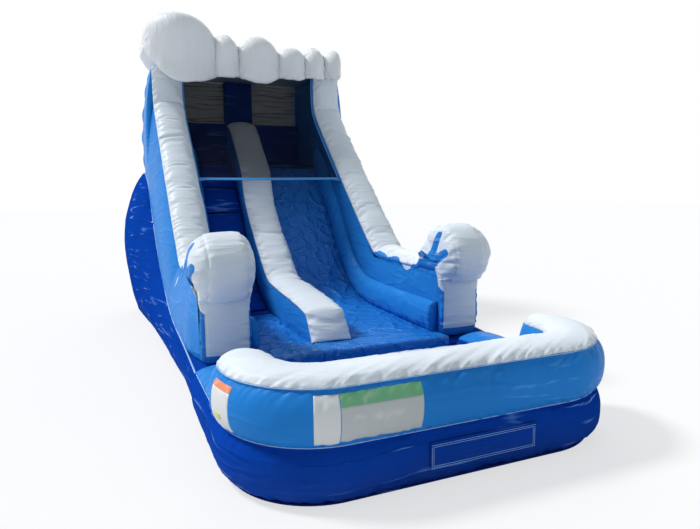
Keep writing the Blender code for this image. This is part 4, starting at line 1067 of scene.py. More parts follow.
def makeWaveFronts():
    line, centre = waveOutline()
    y, z = line[:, 0], line[:, 1]
    middle = slide["wallFront"] - 0.055
    spineZ = np.clip(z, 0.60, centre[1] - 0.05)
    spineY = middle + (centre[0] - middle) * np.clip((spineZ - 1.12) / 0.2, 0, 1)
    tail = (y > slide["wallFront"] + 0.05) & (z < 1.5)
    spineY = np.where(tail, np.clip(y - 0.10, centre[0], None), spineY)
    spineZ = np.where(tail, np.clip(z + 0.12, 1.32, 1.42), spineZ)
    spine = np.column_stack((spineY, spineZ))
    upward = np.clip((z - 0.95) / 0.25, 0, 1)
    least, most = waveFront["sideSwell"]
    sideSwell = least + (most - least) * upward
    least, most = waveFront["edge"]
    onShelf = z < slide["shelf"] + 0.03
    seamEdge = np.where((y > slide["wallFront"] - 0.02) & onShelf, waveFront["wallEdge"],
                        least + (most - least) * upward)
    headSwell = waveFront["headSwell"] * np.clip((z - 1.18) / 0.25, 0, 1)
    normals = -lineNormals(np.vstack((line[-1:], line, line[:1])))[1:-1]
    fixed = (y > slide["wallFront"] - 0.01) & onShelf
    fade = np.clip((z - 0.80) / 0.4, 0, 1)[None, :, None]
    for word, side in sides:
        low, high = sorted((side * (slide["laneHalf"] + 0.004), side * slide["wallOuter"]))
        lowShare, highShare = waveFront["headShare"][word]
        swell = sideSwell + (side < 0) * waveFront["outerSwell"] + headSwell * lowShare
        rows = sideRows(line, spine, low, 1, seamEdge, swell)
        for t in np.linspace(0, 1, waveFront["frontRows"] + 2)[1:-1]:
            x = low + seamEdge + (high - low - 2 * seamEdge) * t
            crown = np.sin(pi * ((x - low) / (high - low))[:, None]) ** 0.6
            rows.append(np.column_stack((x, line + normals * waveFront["frontSwell"] * crown)))
        swell = sideSwell + (side > 0) * waveFront["outerSwell"] + headSwell * highShare
        rows += sideRows(line, spine, high, -1, seamEdge, swell)[::-1]
        grid = np.array(rows)
        seamLow, seamHigh = waveFront["sideRows"] - 1, len(rows) - waveFront["sideRows"]
        along, _ = runs(grid)
        away = np.minimum(np.abs(along - along[seamLow]), np.abs(along - along[seamHigh]))
        s = np.tile(lengths(np.vstack((line, line[:1])))[:-1], (len(rows), 1))
        rise = gathers(s, away, *waveFront["gathers"], 441 + side)
        rise += 0.005 * noiseField(s * 3, along * 4, 447 + side)
        waist = s[0][np.argmin(np.abs(z - waveFront["waist"]) + (y > -2.0))]
        band = slice(seamLow + 1, seamHigh)
        drift = 0.015 * noiseLine(along[band] * 9, 449)
        rise[band] += fold(s[band] + drift, waist, *waveFront["waistFold"])
        rise[:, fixed] *= 0.2
        grid = raised(grid, rise)
        held = np.zeros(grid.shape[:2], bool)
        held[[seamLow, seamHigh]] = True
        held[:, fixed] = True
        grid = inflate(f"waveFront{word}", grid, held, *waveFront["air"], fade)
        piece = addPiece(f"waveFront{word}", grid, "whiteSplash", f"{word.lower()}_wave_front")
        front = 0.004 - away
        front[seamLow:seamHigh + 1] = away[seamLow:seamHigh + 1] + 0.004
        colour = np.maximum(splashDistance(grid[:, :, 1], grid[:, :, 2]), front)
        addSplash(piece, np.minimum(colour, grid[:, :, 2] - splash["base"]))


makeWaveFronts()
print("stage: caps and wave fronts")

# Lanes: beds, bolsters, liners and steps
lane = {
    "bed": 0.05, "valley": 0.014, "liner": 0.004, "bolsterHeight": 0.36, "bolsterDepth": 0.12, "edge": 1.1245,
    "stepCount": 6, "stepRise": 0.095, "firstStep": 0.07, "sideRoom": 0.045, "bolsterPoints": 34,
    "stepPoints": 22, "hem": 0.055, "ruffle": 0.006, "ruffleAt": 0.42, "stepGathers": (0.05, 0.008),
    "bolsterGathers": ((0.05, 0.007), (0.05, 0.008)), "bolsterAir": (0.04, 0.014),
}
divider = {
    "capDepth": 0.085, "edge": 0.32, "nose": -1.8631, "noseLean": 0.23, "low": 0.875, "lowRun": 1.65,
    "bendHeight": 1.77, "bendRun": 2.63, "stepLean": 0.07, "netRoom": 0.045, "topShare": 0.86, "back": 0.20,
    "corner": 0.10, "bodyPoints": 26, "puff": 0.030, "gathers": ((0.04, 0.006), (0.05, 0.007)),
    "capGathers": (0.06, 0.008), "capPower": 0.5, "air": (0.05, 0.016),
    "folds": ((0.36, 0.05, 0.012), (1.95, 0.05, 0.012), (2.10, 0.05, 0.010), (3.05, 0.05, 0.014)),
}


def makeBed(name, stands, low, high, end, count):
    line = spaced(partOfLine(slopeLine(slide["gap"]), slide["deck"], end), 0.025)
    x, h, top = channelSection(low + 0.001, high - 0.001, lane["bed"] - 0.002, lane["valley"], count)
    grid = sweepGrid(line, x, h)
    along, across = [run[:, 1:1 + top] for run in runs(grid)]
    grid = raised(grid, 0.003 * noiseField(along * 12, across * 5, 501) - 0.003, 1)
    addPiece(name, grid, "darkBlue", stands)


def makeBolster(word, side):
    line = partOfLine(slopeLine(lane["bed"] + lane["liner"] + 0.002), slide["wallFront"], slide["lip"] - 0.05)
    count = lane["bolsterPoints"]
    angle = np.linspace(pi / 2, -pi / 2 * 0.75, count)
    depth = np.concatenate(((0.0,), 0.42 + 0.62 * np.cos(angle), (0.0,)))
    height = lane["bolsterHeight"] * (0.5 + 0.5 * np.sin(angle))
    height = np.concatenate(((height[0] * 0.98,), height, (0.0,)))
    x = side * (lane["edge"] - 0.002) - side * lane["bolsterDepth"] * np.clip(depth, 0, 1.05)
    grid = sweepGrid(spaced(line, 0.02), x, height)
    s, a = panelRuns(grid, 1, count)
    rise = bothGathers(s, a, *lane["bolsterGathers"], (521 + side, 527 + side))
    grid = raised(grid, rise + 0.006 * noiseField(s * 3, a * 4, 529 + side), 1)
    grid = inflate(f"laneBolster{word}", grid, heldSeams(grid, (2, count)), *lane["bolsterAir"])
    addPiece(f"laneBolster{word}", grid, "lightBlue", f"{word.lower()}_lane_bolster")


# Loose sheet over a bed, with its hem hanging over the deck's edge
def makeLiner(name, stands, low, high, end, seed):
    base = partOfLine(slopeLine(lane["bed"] + 0.002), slide["deck"] + 0.03, end)
    front = slide["deck"] - 0.003
    edge = chaikin(((front, lane["hem"]), (front, base[0, 1]), tuple(base[0])), 2)
    line = spaced(np.vstack((edge, base[1:])), 0.016)
    width = high - low
    t = np.linspace(0, 1, max(int(width / 0.018), 4))
    grid = sweepGrid(line, low + 0.001 + (width - 0.002) * t, np.zeros(len(t)))
    along, across = runs(grid)
    normal = upNormals(grid)
    rise = wrinkles(across, along, 0.13, 0.016, seed) + wrinkles(along, across, 0.10, 0.013, seed + 3)
    rise += 0.006 * (noiseField(along * 3.2, across * 3.2, seed + 5) + 1)
    ridge = np.clip(1 - 3.2 * np.abs(noiseField(along * 3.6 + across * 1.5, across * 5.0, seed + 15)), 0, 1)
    rise += 0.011 * ridge ** 1.5 * np.clip(noiseField(along * 1.2, across * 1.6, seed + 17) + 0.6, 0, 1)
    ruffle = lane["ruffle"] * np.exp(-np.abs(along - lane["ruffleAt"]) / 0.10)
    rise += np.abs(noiseLine(across * 14, seed + 7)) * ruffle
    rise *= np.clip(nearestEdge(across) / 0.06, 0, 1) ** 0.5
    top = grid + normal * (rise + lane["liner"])[:, :, None]
    piece = addPiece(name, sheetGrid(top, top - normal * 0.002), "linerBlue", stands)
    float(lengths(line)[-1]) * 1.01


def makeSteps():
    line = partOfLine(slopeLine(lane["bed"] + 0.002), slide["foot"], slide["lip"])
    run, count = lengths(line), lane["stepPoints"]
    first = run[-1] * lane["firstStep"]
    pitch = (run[-1] - first) / lane["stepCount"]
    low = -slide["laneHalf"] + lane["bolsterDepth"] + lane["sideRoom"]
    high = slide["dividerLeft"] - lane["sideRoom"]
    crown = lane["stepRise"] * np.sin(pi * np.linspace(0, 1, count)) ** 0.42
    across = np.linspace(0, 1, 40)[:, None]
    size = np.sin(pi * np.clip(across, 0.02, 0.98)) ** 0.22
    for k in range(lane["stepCount"]):
        places = np.linspace(first + pitch * k + 0.002, first + pitch * (k + 1) - 0.002, count)
        base = pointsAt(places, run, line)
        normals = lineNormals(base)
        under = (base[::-1] + normals[::-1] * 0.002)[1:-1]
        loop = np.vstack((base + normals * (crown + 0.002)[:, None], under))
        foot = np.vstack((base, under))
        y, z = [foot[:, c] + (loop[:, c] - foot[:, c]) * size for c in (0, 1)]
        grid = gridOf(low + (high - low) * across, y, z)
        s, a = panelRuns(grid, 0, count)
        grid = raised(grid, gathers(s + k, nearestEdge(a), *lane["stepGathers"], 541 + k))
        addPiece(f"climbStep{k + 1}", grid, "darkBlue", f"climb_step_{k + 1}")


def dividerLine():
    d = divider
    crestY = d["nose"] + d["noseLean"]
    start, end = shiftedLine(netPoints()[:2], -d["netRoom"])
    top = start + (end - start) * d["topShare"]
    step = start + (end - start) * d["noseLean"] / np.linalg.norm(end - start)
    floor = slide["deckHeight"] + lane["bed"] + lane["liner"] + 0.002
    points = [(d["nose"], floor), (crestY, d["low"]), (crestY + d["lowRun"], d["low"] + 0.10),
              (crestY + d["bendRun"], d["bendHeight"]),
              (step[0] - d["stepLean"], (step[1] + d["bendHeight"]) / 2),
              tuple(step), tuple(top), (top[0] + d["back"], top[1])]
    return roundedLine(np.array(points), d["corner"], 0.016)


def makeDivider():
    outer = dividerLine()
    seat = shiftedLine(outer, -divider["capDepth"] + 0.004)
    seat[0] = (outer[0, 0] + divider["capDepth"], outer[0, 1])
    share = lengths(seat) / lengths(seat)[-1]
    floorY = np.interp(share, (0.0, 0.05, 1.0), (seat[0, 0], seat[0, 0] + 0.02, seat[-1, 0]))
    floorY = np.maximum.accumulate(np.clip(0.35 * floorY + 0.65 * seat[:, 0], seat[0, 0], seat[-1, 0]))
    low = np.column_stack((floorY, heightOn(slopeLine(slide["gap"]), floorY)))
    t = eased(divider["bodyPoints"])
    y, z = [low[:, c:c + 1] + (seat - low)[:, c:c + 1] * t for c in (0, 1)]
    tall = np.linalg.norm(seat - low, axis=1)
    puff = (divider["puff"] * np.clip(tall / 0.4, 0, 1))[:, None] * np.sin(pi * t) ** 0.7
    grid = sheetGrid(gridOf(slide["dividerLeft"] + 0.006 - puff, y, z),
                     gridOf(slide["dividerRight"] - 0.006 + puff, y, z))
    rise = np.zeros(grid.shape[:2])
    for start, seed in ((0, 561), (len(t), 571)):
        s, a = panelRuns(grid, start, len(t))
        rise[:, start:start + len(t)] = (bothGathers(s, a, *divider["gathers"], (seed, seed + 3))
                                         + 0.004 * noiseField(s * 4, a * 3, seed + 5))
    addPiece("dividerBody", raised(grid, rise), "lightBlue", "divider_body")
    x, h = crownSection(slide["dividerLeft"] - 0.006, slide["dividerRight"] + 0.006, divider["capDepth"],
                        divider["edge"], divider["capPower"])
    grid = sweepGrid(seat, x, h)
    s, a = panelRuns(grid, 1, crownCount)
    rise = gathers(s, nearestEdge(a), *divider["capGathers"], 581)
    rise += 0.006 * noiseField(s * 5, a * 2.5, 583)
    for place in divider["folds"]:
        rise += fold(s + 0.12 * (a - 0.22), *place)
    grid = raised(grid, rise, 1)
    grid = inflate("dividerCap", grid, heldSeams(grid, (2, crownCount)), *divider["air"])
    addPiece("dividerCap", grid, "white", "divider_cap")


def makeLanes():
    left, right, edge = slide["dividerLeft"], slide["dividerRight"], lane["edge"]
    padEnd = divider["nose"] + 0.079
    makeBed("slideBed", "slide_bed", right, edge, slide["lip"] - 0.001, 4)
    makeBed("climbBed", "climb_bed", -edge, left, slide["lip"] - 0.001, 3)
    makeBed("centrePad", "centre_pad", left, right, padEnd, 2)
    makeLiner("slideLiner", "slide_liner", right, edge, slide["lip"] - 0.05, 601)
    makeLiner("climbLiner", "climb_liner", -edge, left, slide["foot"], 631)
    makeLiner("centreLiner", "centre_liner", left, right, padEnd, 661)
    for word, side in sides:
        makeBolster(word, side)
    makeSteps()
    makeDivider()


makeLanes()
print("stage: lanes")

# Platform pad, lower rear wall, centre column and the mesh windows
rearWall = {
    "sill": 3.36, "columnWidth": 0.48, "window": 0.004, "half": 1.122, "channels": 2, "crown": 0.045,
    "points": 40, "pad": (0.05, 0.014, 7), "gathers": (0.05, 0.008),
}


# Upright inflated panel with level channels front and back
def makePanel(name, stands, low, high, bottom, top):
    z = np.linspace(bottom, top, 60)
    channels = np.abs(np.sin(pi * rearWall["channels"] * (z - bottom) / (top - bottom))) ** 0.5
    crown = (rearWall["crown"] * (1 - channels))[:, None] + np.zeros(rearWall["points"])
    x = np.linspace(low, high, rearWall["points"])
    front, back = slide["rearWall"] + 0.001 + crown, slide["rear"] - 0.001 - crown
    grid = sheetGrid(gridOf(x, front, z[:, None]), gridOf(x, back, z[:, None]))
    _, across = runs(grid)
    away = channelAway(z, bottom, (top - bottom) / rearWall["channels"])
    rise = gathers(across, away, *rearWall["gathers"], 721) * 0.5
    rise[:, :len(x)] *= -1
    grid[:, :, 1] += rise
    addPiece(name, grid, "darkBlue", stands)


def makePlatform():
    half, post, sill = rearWall["half"], rearWall["columnWidth"] / 2, rearWall["sill"]
    height = slide["platform"] + 0.001
    line = spaced(((dividerLine()[-1, 0] + 0.004, height), (slide["rearWall"] - 0.002, height)), 0.03)
    x, h, _ = channelSection(-half, half, *rearWall["pad"])
    addPiece("platformPad", sweepGrid(line, x, h), "linerBlue", "platform_pad")
    makePanel("rearLowerWall", "rear_lower_wall", -half, half, slide["platform"] + 0.002, sill - 0.001)
    makePanel("rearCentreColumn", "rear_centre_column", -post, post, sill + 0.001, slide["wallTop"] - 0.001)
    for word, side in sides:
        low, high = sorted((side * (post + 0.001), side * half))
        x = np.linspace(low, high, rearWall["points"])
        z = np.linspace(sill, slide["wallTop"] - 0.002, rearWall["points"])[:, None]
        y = (slide["rearWall"] + slide["rear"]) / 2 + 0.010 * noiseField(x * 2 + z, z * 9, 701 + side)
        y += wrinkles(x, z, 0.10, 0.014, 705 + side)
        grid = gridOf(x, y, z)
        piece = addPiece(f"rearWindow{word}", sheetGrid(grid, grid + (0, rearWall["window"], 0)), "greyMesh",
                         f"rear_window_{word.lower()}")


makePlatform()

# Wave crest: six round bulges, each a sewn hoop with gathered ends
crest = {
    "left": -1.68, "front": 2.06, "back": 3.672, "lip": 0.11,
    "seamHeights": (0.10, 0.55, 0.42, 0.39, 0.41, 0.41, 0.10),
    "seamFronts": (0.20, 0.28, 0.25, 0.22, 0.19, 0.18, 0.13),
    "seamDrops": (0.0, 0.15, 0.11, 0.09, 0.06, 0.04, 0.0),
    "widths": (1.07, 0.38, 0.68, 0.46, 0.36, 0.36), "heights": (0.82, 0.585, 0.585, 0.475, 0.51, 0.505),
    "leans": (0.50, 0.30, 0.36, 0.26, 0.28, 0.28), "drops": (0.30, 0.15, 0.22, 0.12, 0.08, 0.06),
    "around": 100, "across": 64, "round": (0.50, 0.70), "endLift": (0.34, 0.17), "endShrink": (0.45, 0.10),
    "lipPoints": 17, "firmFrom": 12, "hemAt": 6, "hemGathers": (0.06, 0.008), "largeFrom": 0.6,
    "large": {"gathers": (0.11, 0.016), "air": (0.05, 0.022)},
    "small": {"gathers": (0.06, 0.010), "air": (0.05, 0.014)},
}


# One hoop at its share of the bulge's width: over the top, down round the hanging lip and back below
def crestHoop(share, grown, isFree, least, front, seamDrop, index):
    height, lean, drop = crest["heights"][index], crest["leans"][index], crest["drops"][index]
    angle = np.linspace(0, pi, crest["around"])
    out = np.sign(np.cos(angle)) * np.abs(np.cos(angle)) ** 0.72
    middle, half = (crest["back"] + crest["front"]) / 2, (crest["back"] - crest["front"]) / 2
    tall = least + (height - least) * grown
    reach = half * (1 - crest["endShrink"][0 if isFree else 1] * (1 - grown))
    forward = front + (lean * 1.02 - front) * sin(pi * share) ** 0.85
    reach *= 1 - 0.04 * (1 - sin(pi * share))
    lift = crest["endLift"][index > 0] * (1 - sin(pi * share) ** 0.8) if isFree else 0
    base = slide["wallTop"] + slide["gap"] + lift
    push = np.where(angle > pi / 2, 0.22 + 0.68 * np.sin(angle), np.clip(np.sin(angle) - 0.1, 0, 1))
    y = middle + reach * out - forward * push
    z = base + tall * np.sin(angle) ** 0.74
    face, inside, hang = y[-1], y[-1] + crest["lip"], seamDrop + (drop - seamDrop) * grown
    lip = chaikin(((face, base), (face - 0.012, base - hang * 0.5), (face + 0.012, base - hang),
                   (inside, base - hang * 0.62), (inside, base)), 3)
    lip = spaced(lip, lengths(lip)[-1] / crest["lipPoints"])[1:crest["lipPoints"] + 1]
    flat = np.column_stack((np.linspace(lip[-1, 0], y[0], 14)[1:-1], np.full(12, base)))
    return np.vstack((np.column_stack((y, z)), lip, flat))


def makeCrest():
    x, t, last = crest["left"], eased(crest["across"]), len(crest["widths"]) - 1
    around = crest["around"]
    for index, width in enumerate(crest["widths"]):
        name = f"crestBulge{index + 1}"
        seams = [np.where(t < 0.5, crest[key][index], crest[key][index + 1])
                 for key in ("seamHeights", "seamFronts", "seamDrops")]
        free = ((t < 0.5) & (index == 0)) | ((t > 0.5) & (index == last))
        swell = np.sin(pi * t) ** np.where(free, *crest["round"])
        rows = []
        for share, *ends in zip(t, swell, free, *seams):
            loop = crestHoop(share, *ends, index)
            rows.append(np.column_stack((np.full(len(loop), x + 0.001 + (width - 0.002) * share), loop)))
        grid = np.array(rows)
        along, across = runs(grid)
        fromEnd = np.minimum(along, along[-1:] - along)
        bulge = crest["large" if width > crest["largeFrom"] else "small"]
        rise = gathers(across, fromEnd, *bulge["gathers"], 801 + index)
        rise += 0.010 * noiseField(along * 2.5 + index, across * 2.2, 811 + index)
        hem = np.abs(across - across[:, around + crest["hemAt"]][:, None])
        rise += gathers(along + index, hem, *crest["hemGathers"], 821 + index)
        rise[:, around + crest["lipPoints"]:] *= 0.1
        rise *= np.clip(fromEnd / 0.02, 0, 1)
        grid = raised(grid, rise)
        held = heldSeams(grid, (0, around + crest["firmFrom"]))
        grid = inflate(name, grid, held, *bulge["air"])
        low, high = -9 if index == 0 else x + 0.001, 9 if index == last else x + width - 0.001
        grid[:, :, 0] = np.clip(grid[:, :, 0], low, high)
        # The crest uses a lighter, warmer copy of the white vinyl: painted light
        addPiece(name, grid, "crestLitWhite", f"crest_bulge_{index + 1}")
        x += width


makeCrest()
print("stage: platform and crest")

# Net, its bindings and the lower webbing
net = {
    "inner": 1.1235, "binding": 0.035, "thick": 0.003, "webWidth": 0.050, "gusset": 0.12, "gussetDrop": 0.09,
    "corner": 0.17, "sag": 0.012, "bindingHalf": 0.006,
}


def makeNet():
    line = roundedLine(netPoints(), net["corner"], 0.03)
    edge = net["inner"] - net["binding"]
    t = np.linspace(0, 1, 60)
    grid = sweepGrid(line, -edge + 0.001 + (2 * edge - 0.002) * t, np.zeros(len(t)))
    along, across = runs(grid)
    normal = upNormals(grid)
    sag = 0.004 * noiseField(along * 2, across * 2, 901) - net["sag"] * np.sin(pi * t)
    front = grid + normal * (sag + net["thick"])[:, :, None]
    piece = addPiece("frontNet", sheetGrid(front, front - normal * net["thick"]), "blackMesh", "front_net")
    float(lengths(line)[-1])
    crown = net["bindingHalf"] + 0.002 * np.sin(np.linspace(0, pi, 6))
    for word, side in sides:
        x = np.linspace(*sorted((side * edge, side * net["inner"])), 6)
        grid = sweepGrid(line, np.concatenate((x, x[::-1])), np.concatenate((crown, -crown)))
        addPiece(f"netBinding{word}", grid, "webbing", f"net_binding_{word.lower()}", sharp=40)
    along = unit(line[1] - line[0])
    x = np.linspace(-net["inner"], net["inner"], 120)
    corner = np.clip((np.abs(x) - net["inner"] + net["gusset"]) / net["gusset"], 0, 1)
    reach = net["webWidth"] + (net["gussetDrop"] - net["webWidth"]) * corner
    down = 0.001 + reach * np.linspace(0, 1, 8)[:, None] + 0.006 * np.sin(pi * np.linspace(0, 1, len(x)))
    face = gridOf(x, line[0, 0] - along[0] * down, line[0, 1] - along[1] * down)
    offset = np.array((0, -along[1], along[0])) * 0.003
    grid = sheetGrid(face + offset, face - offset)
    addPiece("netLowerWebbing", grid, "webbing", "net_lower_webbing", sharp=40)


makeNet()
print("stage: net")

# Thin parts near the ground: pool floor, ground sheet, drain zip, sleeve and anchors
ground = {"sheetInset": 0.09, "sheetThick": 0.0098, "hem": 0.11}


def poolPlan(inset, endY, step):
    return spaced(shiftedLine(poolLine(endY, 0.02), inset), step)


def makeFloor():
    line = poolPlan(pool["thickness"] - pool["footInset"] + 0.02, slide["deck"] - 0.014, 0.03)
    half = len(line) // 2
    left, right = line[:half + 1], line[::-1][:half + 1]
    x, y = [left[:, c:c + 1] + (right - left)[:, c:c + 1] * np.linspace(0, 1, 60) for c in (0, 1)]
    base = slide["ground"] + 0.002
    rise = 0.004 * (noiseField(x * 3, y * 3, 951) + 1) + wrinkles(x, y, 0.2, 0.006, 955)
    rise[-1] = 0.002
    grid = sheetGrid(gridOf(x, y, base + rise), gridOf(x, y, base - 0.001))
    piece = addPiece("poolFloor", grid, "linerBlue", "pool_floor")


def makeGroundSheet():
    front = poolPlan(ground["sheetInset"], slide["deck"], 0.05)
    y = np.linspace(slide["deck"], slide["rear"], 90)
    share = (y - slide["deck"]) / (slide["rear"] - slide["deck"])
    x = slide["footHalf"] + slide["hullBulge"] * np.interp(share, seamTable["run"], seamTable["foot"])
    right = np.vstack((np.column_stack((x, y)), (x[-1] - ground["hem"], slide["hullRear"])))
    outline = np.vstack((front, right[1:], (right[1:] * (-1, 1))[::-1]))
    thick = ground["sheetThick"]
    rows = [np.column_stack((outline * grow, np.full(len(outline), z)))
            for z, grow in ((0.0, 1.0), (thick * 0.5, 1.001), (thick, 1.0))]
    addPiece("groundSheet", np.array(rows), "darkBlue", "ground_sheet", sharp=40)


boxFaces = ((0, 3, 2, 1), (4, 5, 6, 7), (0, 1, 5, 4), (1, 2, 6, 5), (2, 3, 7, 6), (3, 0, 4, 7))


# Points and faces of plain boxes, each given by its ends in x, y and z
def boxShape(boxes):
    verts, faces = [], []
    for lowX, highX, lowY, highY, lowZ, highZ in boxes:
        base = len(verts)
        corners = ((lowX, lowY), (highX, lowY), (highX, highY), (lowX, highY))
        verts += [(x, y, z) for z in (lowZ, highZ) for x, y in corners]
        faces += [[base + i for i in face] for face in boxFaces]
    return verts, faces


zipParts = {
    "centre": 0.13, "length": 0.89, "height": 0.255, "drop": 0.20, "hem": 0.0065, "over": 0.03,
    "seat": 0.0003, "tapeHalf": 0.017, "tape": 0.0018, "tooth": 0.003, "toothPitch": 0.006,
    "flapBack": 0.0099, "flap": 0.0028, "stitchRows": (0.012, 0.026), "stitch": 0.013, "stitchPitch": 0.018,
    "thread": 0.0016,
}


# How far the flap's face stands out in its soft waves
def flapWave(x, z, top):
    low = np.clip((top - z - 0.02) / zipParts["drop"], 0, 1)
    return np.abs(noiseLine(x * 7, 971)) * 0.004 * low


def makeZip():
    p = zipParts
    face = slide["poolFront"] - p["seat"]
    left, right = p["centre"] - p["length"] / 2, p["centre"] + p["length"] / 2
    boxes = [(left, right, face - p["tape"], face, p["height"] - p["tapeHalf"], p["height"] + p["tapeHalf"])]
    for k in range(int(p["length"] / p["toothPitch"]) - 1):
        x = left + 0.004 + k * p["toothPitch"]
        z = p["height"] + (0.0012 if k % 2 else -0.0012)
        boxes.append((x, x + p["tooth"], face - 0.0032, face - 0.0016, z - p["tooth"], z + p["tooth"]))
    addPiece("zipTape", boxShape(boxes), "zipTape", "drain_zip_tape", sharp=30)
    hingeY, hingeZ = face - p["hem"], p["height"] + p["drop"] / 2
    angle = pi * (-0.30 + 1.6 * np.linspace(0, 1, 16))
    hem = np.column_stack((hingeY + p["hem"] * np.cos(angle), hingeZ + p["hem"] * np.sin(angle)))
    back, front = face - p["flapBack"], face - p["flapBack"] - p["flap"]
    drop = np.linspace(hingeZ - p["hem"], hingeZ - p["drop"], 24)
    frontSide = np.column_stack((np.full(24, front), drop))
    backSide = np.column_stack((np.full(23, back), drop[::-1][:-1]))
    loop = np.vstack((hem, frontSide, backSide))
    x = np.linspace(left - p["over"], right + p["over"], 120)
    y = loop[:, 0] - flapWave(x[:, None], loop[:, 1], hingeZ)
    grid = gridOf(x[:, None], y, loop[:, 1])
    addPiece("zipFlap", grid, "darkBlue", "drain_zip_flap", rides="zip_flap", sharp=50)
    boxes = []
    for inset in p["stitchRows"]:
        lowX, highX = x[0] + inset, x[-1] - inset
        lowZ, highZ = hingeZ - p["drop"] + inset, hingeZ - 0.004 - inset
        level = np.arange(lowX, highX, p["stitchPitch"])
        upright = np.arange(lowZ, highZ - 0.01, p["stitchPitch"])
        stitches = [(k, k + p["stitch"], z, z) for z in (highZ, lowZ) for k in level]
        stitches += [(edge, edge, k, k + p["stitch"]) for edge in (lowX, highX) for k in upright]
        for x0, x1, z0, z1 in stitches:
            place = front - float(flapWave(np.array(x0), z0, hingeZ))
            boxes.append((x0 - p["thread"], x1 + p["thread"], place - p["thread"], place + 0.0006,
                          z0 - p["thread"], z1 + p["thread"]))
    addPiece("flapStitches", boxShape(boxes), "seamCordAndHighlight", rides="zip_flap", sharp=30)


sleeve = {
    "x": -1.15, "z": 0.1523, "radius": 0.14, "wall": 0.006, "length": 0.4197,
    "tieAt": 0.53, "tieRadius": 0.1165,
    "run": (0.0, 0.18, 0.42, 0.5, 0.56, 0.62, 0.82, 1.0),
    "size": (1.0, 0.97, 0.86, 0.80, 0.80, 0.83, 0.95, 1.0),
    "tie": ((-0.0125, 0.0), (-0.0125, 0.003), (0.0, 0.0045), (0.0125, 0.003), (0.0125, 0.0)),
}


def roundGrid(radius, y, angle):
    return gridOf(sleeve["x"] + radius * np.cos(angle), y, sleeve["z"] + radius * np.sin(angle))


# Open sleeve with two walls, pleated where its tie closes it
def makeSleeve():
    start = slide["hullRear"] + 0.0005
    share = np.linspace(0, 1, 70)[:, None]
    size = np.interp(share, sleeve["run"], sleeve["size"]) * sleeve["radius"]
    angle = np.linspace(0, 2 * pi, 96, endpoint=False)
    near = np.exp(-np.abs(share - sleeve["tieAt"]) / 0.16)
    pleat = 0.006 * near * np.cos(angle * 17 + 0.5 * np.sin(angle * 3))
    pleat += 0.004 * noiseField(angle * 3, share * 6, 981)
    outer, inner = [roundGrid(size + pleat - 0.004 - wallDepth, start + sleeve["length"] * share, angle)
                    for wallDepth in (0.0, sleeve["wall"])]
    addPiece("inflationSleeve", np.concatenate((outer, inner[::-1][:-8])), "darkBlue", "inflation_sleeve")
    along, out = np.array(sleeve["tie"]).T
    angle = np.linspace(0, 2 * pi, 96)[:, None]
    grid = roundGrid(sleeve["tieRadius"] + out, start + sleeve["length"] * sleeve["tieAt"] + along, angle)
    addPiece("sleeveTie", grid, "webbing", "sleeve_tie", sharp=40)


anchor = {"spacing": 3.0, "tab": 0.13, "thick": 0.006, "loop": 0.0090, "width": 0.045}


def makeAnchors():
    rear, y = slide["hullRear"] + 0.001, slide["hullRear"] + 0.0003 + anchor["tab"] - anchor["loop"]
    base = slide["ground"]
    z = base + anchor["loop"]
    angle = np.linspace(-pi / 2, pi / 2, 14)
    outer = np.column_stack((y + anchor["loop"] * np.cos(angle), z + anchor["loop"] * np.sin(angle)))
    tail = spaced(((y - 0.010, z + 0.001), (rear, base + anchor["thick"])), 0.01)
    under = spaced(((rear, base), (y - 0.002, base)), 0.01)
    loop = np.vstack((outer, tail, under))
    for word, side in sides:
        x = side * anchor["spacing"] / 2 + np.linspace(-anchor["width"] / 2, anchor["width"] / 2, 10)
        addPiece(f"anchorTab{word}", gridOf(x[:, None], loop[:, 0], loop[:, 1]), "webbing",
                 f"anchor_tab_{word.lower()}", sharp=40)


makeFloor()
makeGroundSheet()
makeZip()
makeSleeve()
makeAnchors()
print("stage: ground parts")

# Bare label patches on the pool wall: plain printed vinyl, stitched on. Run and height are in metres
patches = {
    "cornerTop": {"run": (0.335, 0.605), "height": (0.325, 0.375), "finish": "patchOrange"},
    "cornerField": {"run": (0.335, 0.605), "height": (0.035, 0.325), "finish": "patchWhite"},
    "cornerMark": {"run": (0.40, 0.50), "height": (0.115, 0.150), "finish": "patchLime", "lift": 0.004},
    "frontColumn": {"run": (1.250, 1.426), "height": (0.030, 0.385), "finish": "patchWhite"},
    "frontField": {"run": (1.430, 2.050), "height": (0.045, 0.300), "finish": "patchGrey"},
    "frontTop": {"run": (1.430, 2.050), "height": (0.300, 0.388), "finish": "patchGreen"},
}
patchColours = {
    "patchOrange": (0.85, 0.20, 0.045), "patchWhite": (0.72, 0.73, 0.72), "patchLime": (0.62, 0.66, 0.10),
    "patchGrey": (0.50, 0.52, 0.52), "patchGreen": (0.10, 0.40, 0.17), "rimStrip": (0.60, 0.66, 0.74),
}
rimStrip = {"run": (1.98, 2.54), "across": (0.60, 0.74), "points": (60, 10)}


def makePatchFinish(name, colour):
    material, tree, place = newMaterial(name)
    creases = node(tree, "ShaderNodeGroup", {"Vector": place, "Crumple": 0.4, "Lines": 0.3,
                                             "Stretch": (3.0, 3.0, 3.0)}, node_tree=creaseGroup)
    worn = mixColour(tree, creases["Patches"], tuple(part * 0.82 for part in colour),
                     tuple(part + (1 - part) * 0.12 for part in colour))
    # Crease lines painted near white: painted highlight along the creases
    setShader(tree, {
        "Base Color": mixColour(tree, creases["Crease"], worn, (0.8, 0.8, 0.8)),
        "Normal": bumpNode(tree, creases["Height"], 0.3, 0.004),
        "Roughness": 0.46, "Specular IOR Level": 0.35})
    finishes[name] = (material, "white_vinyl")


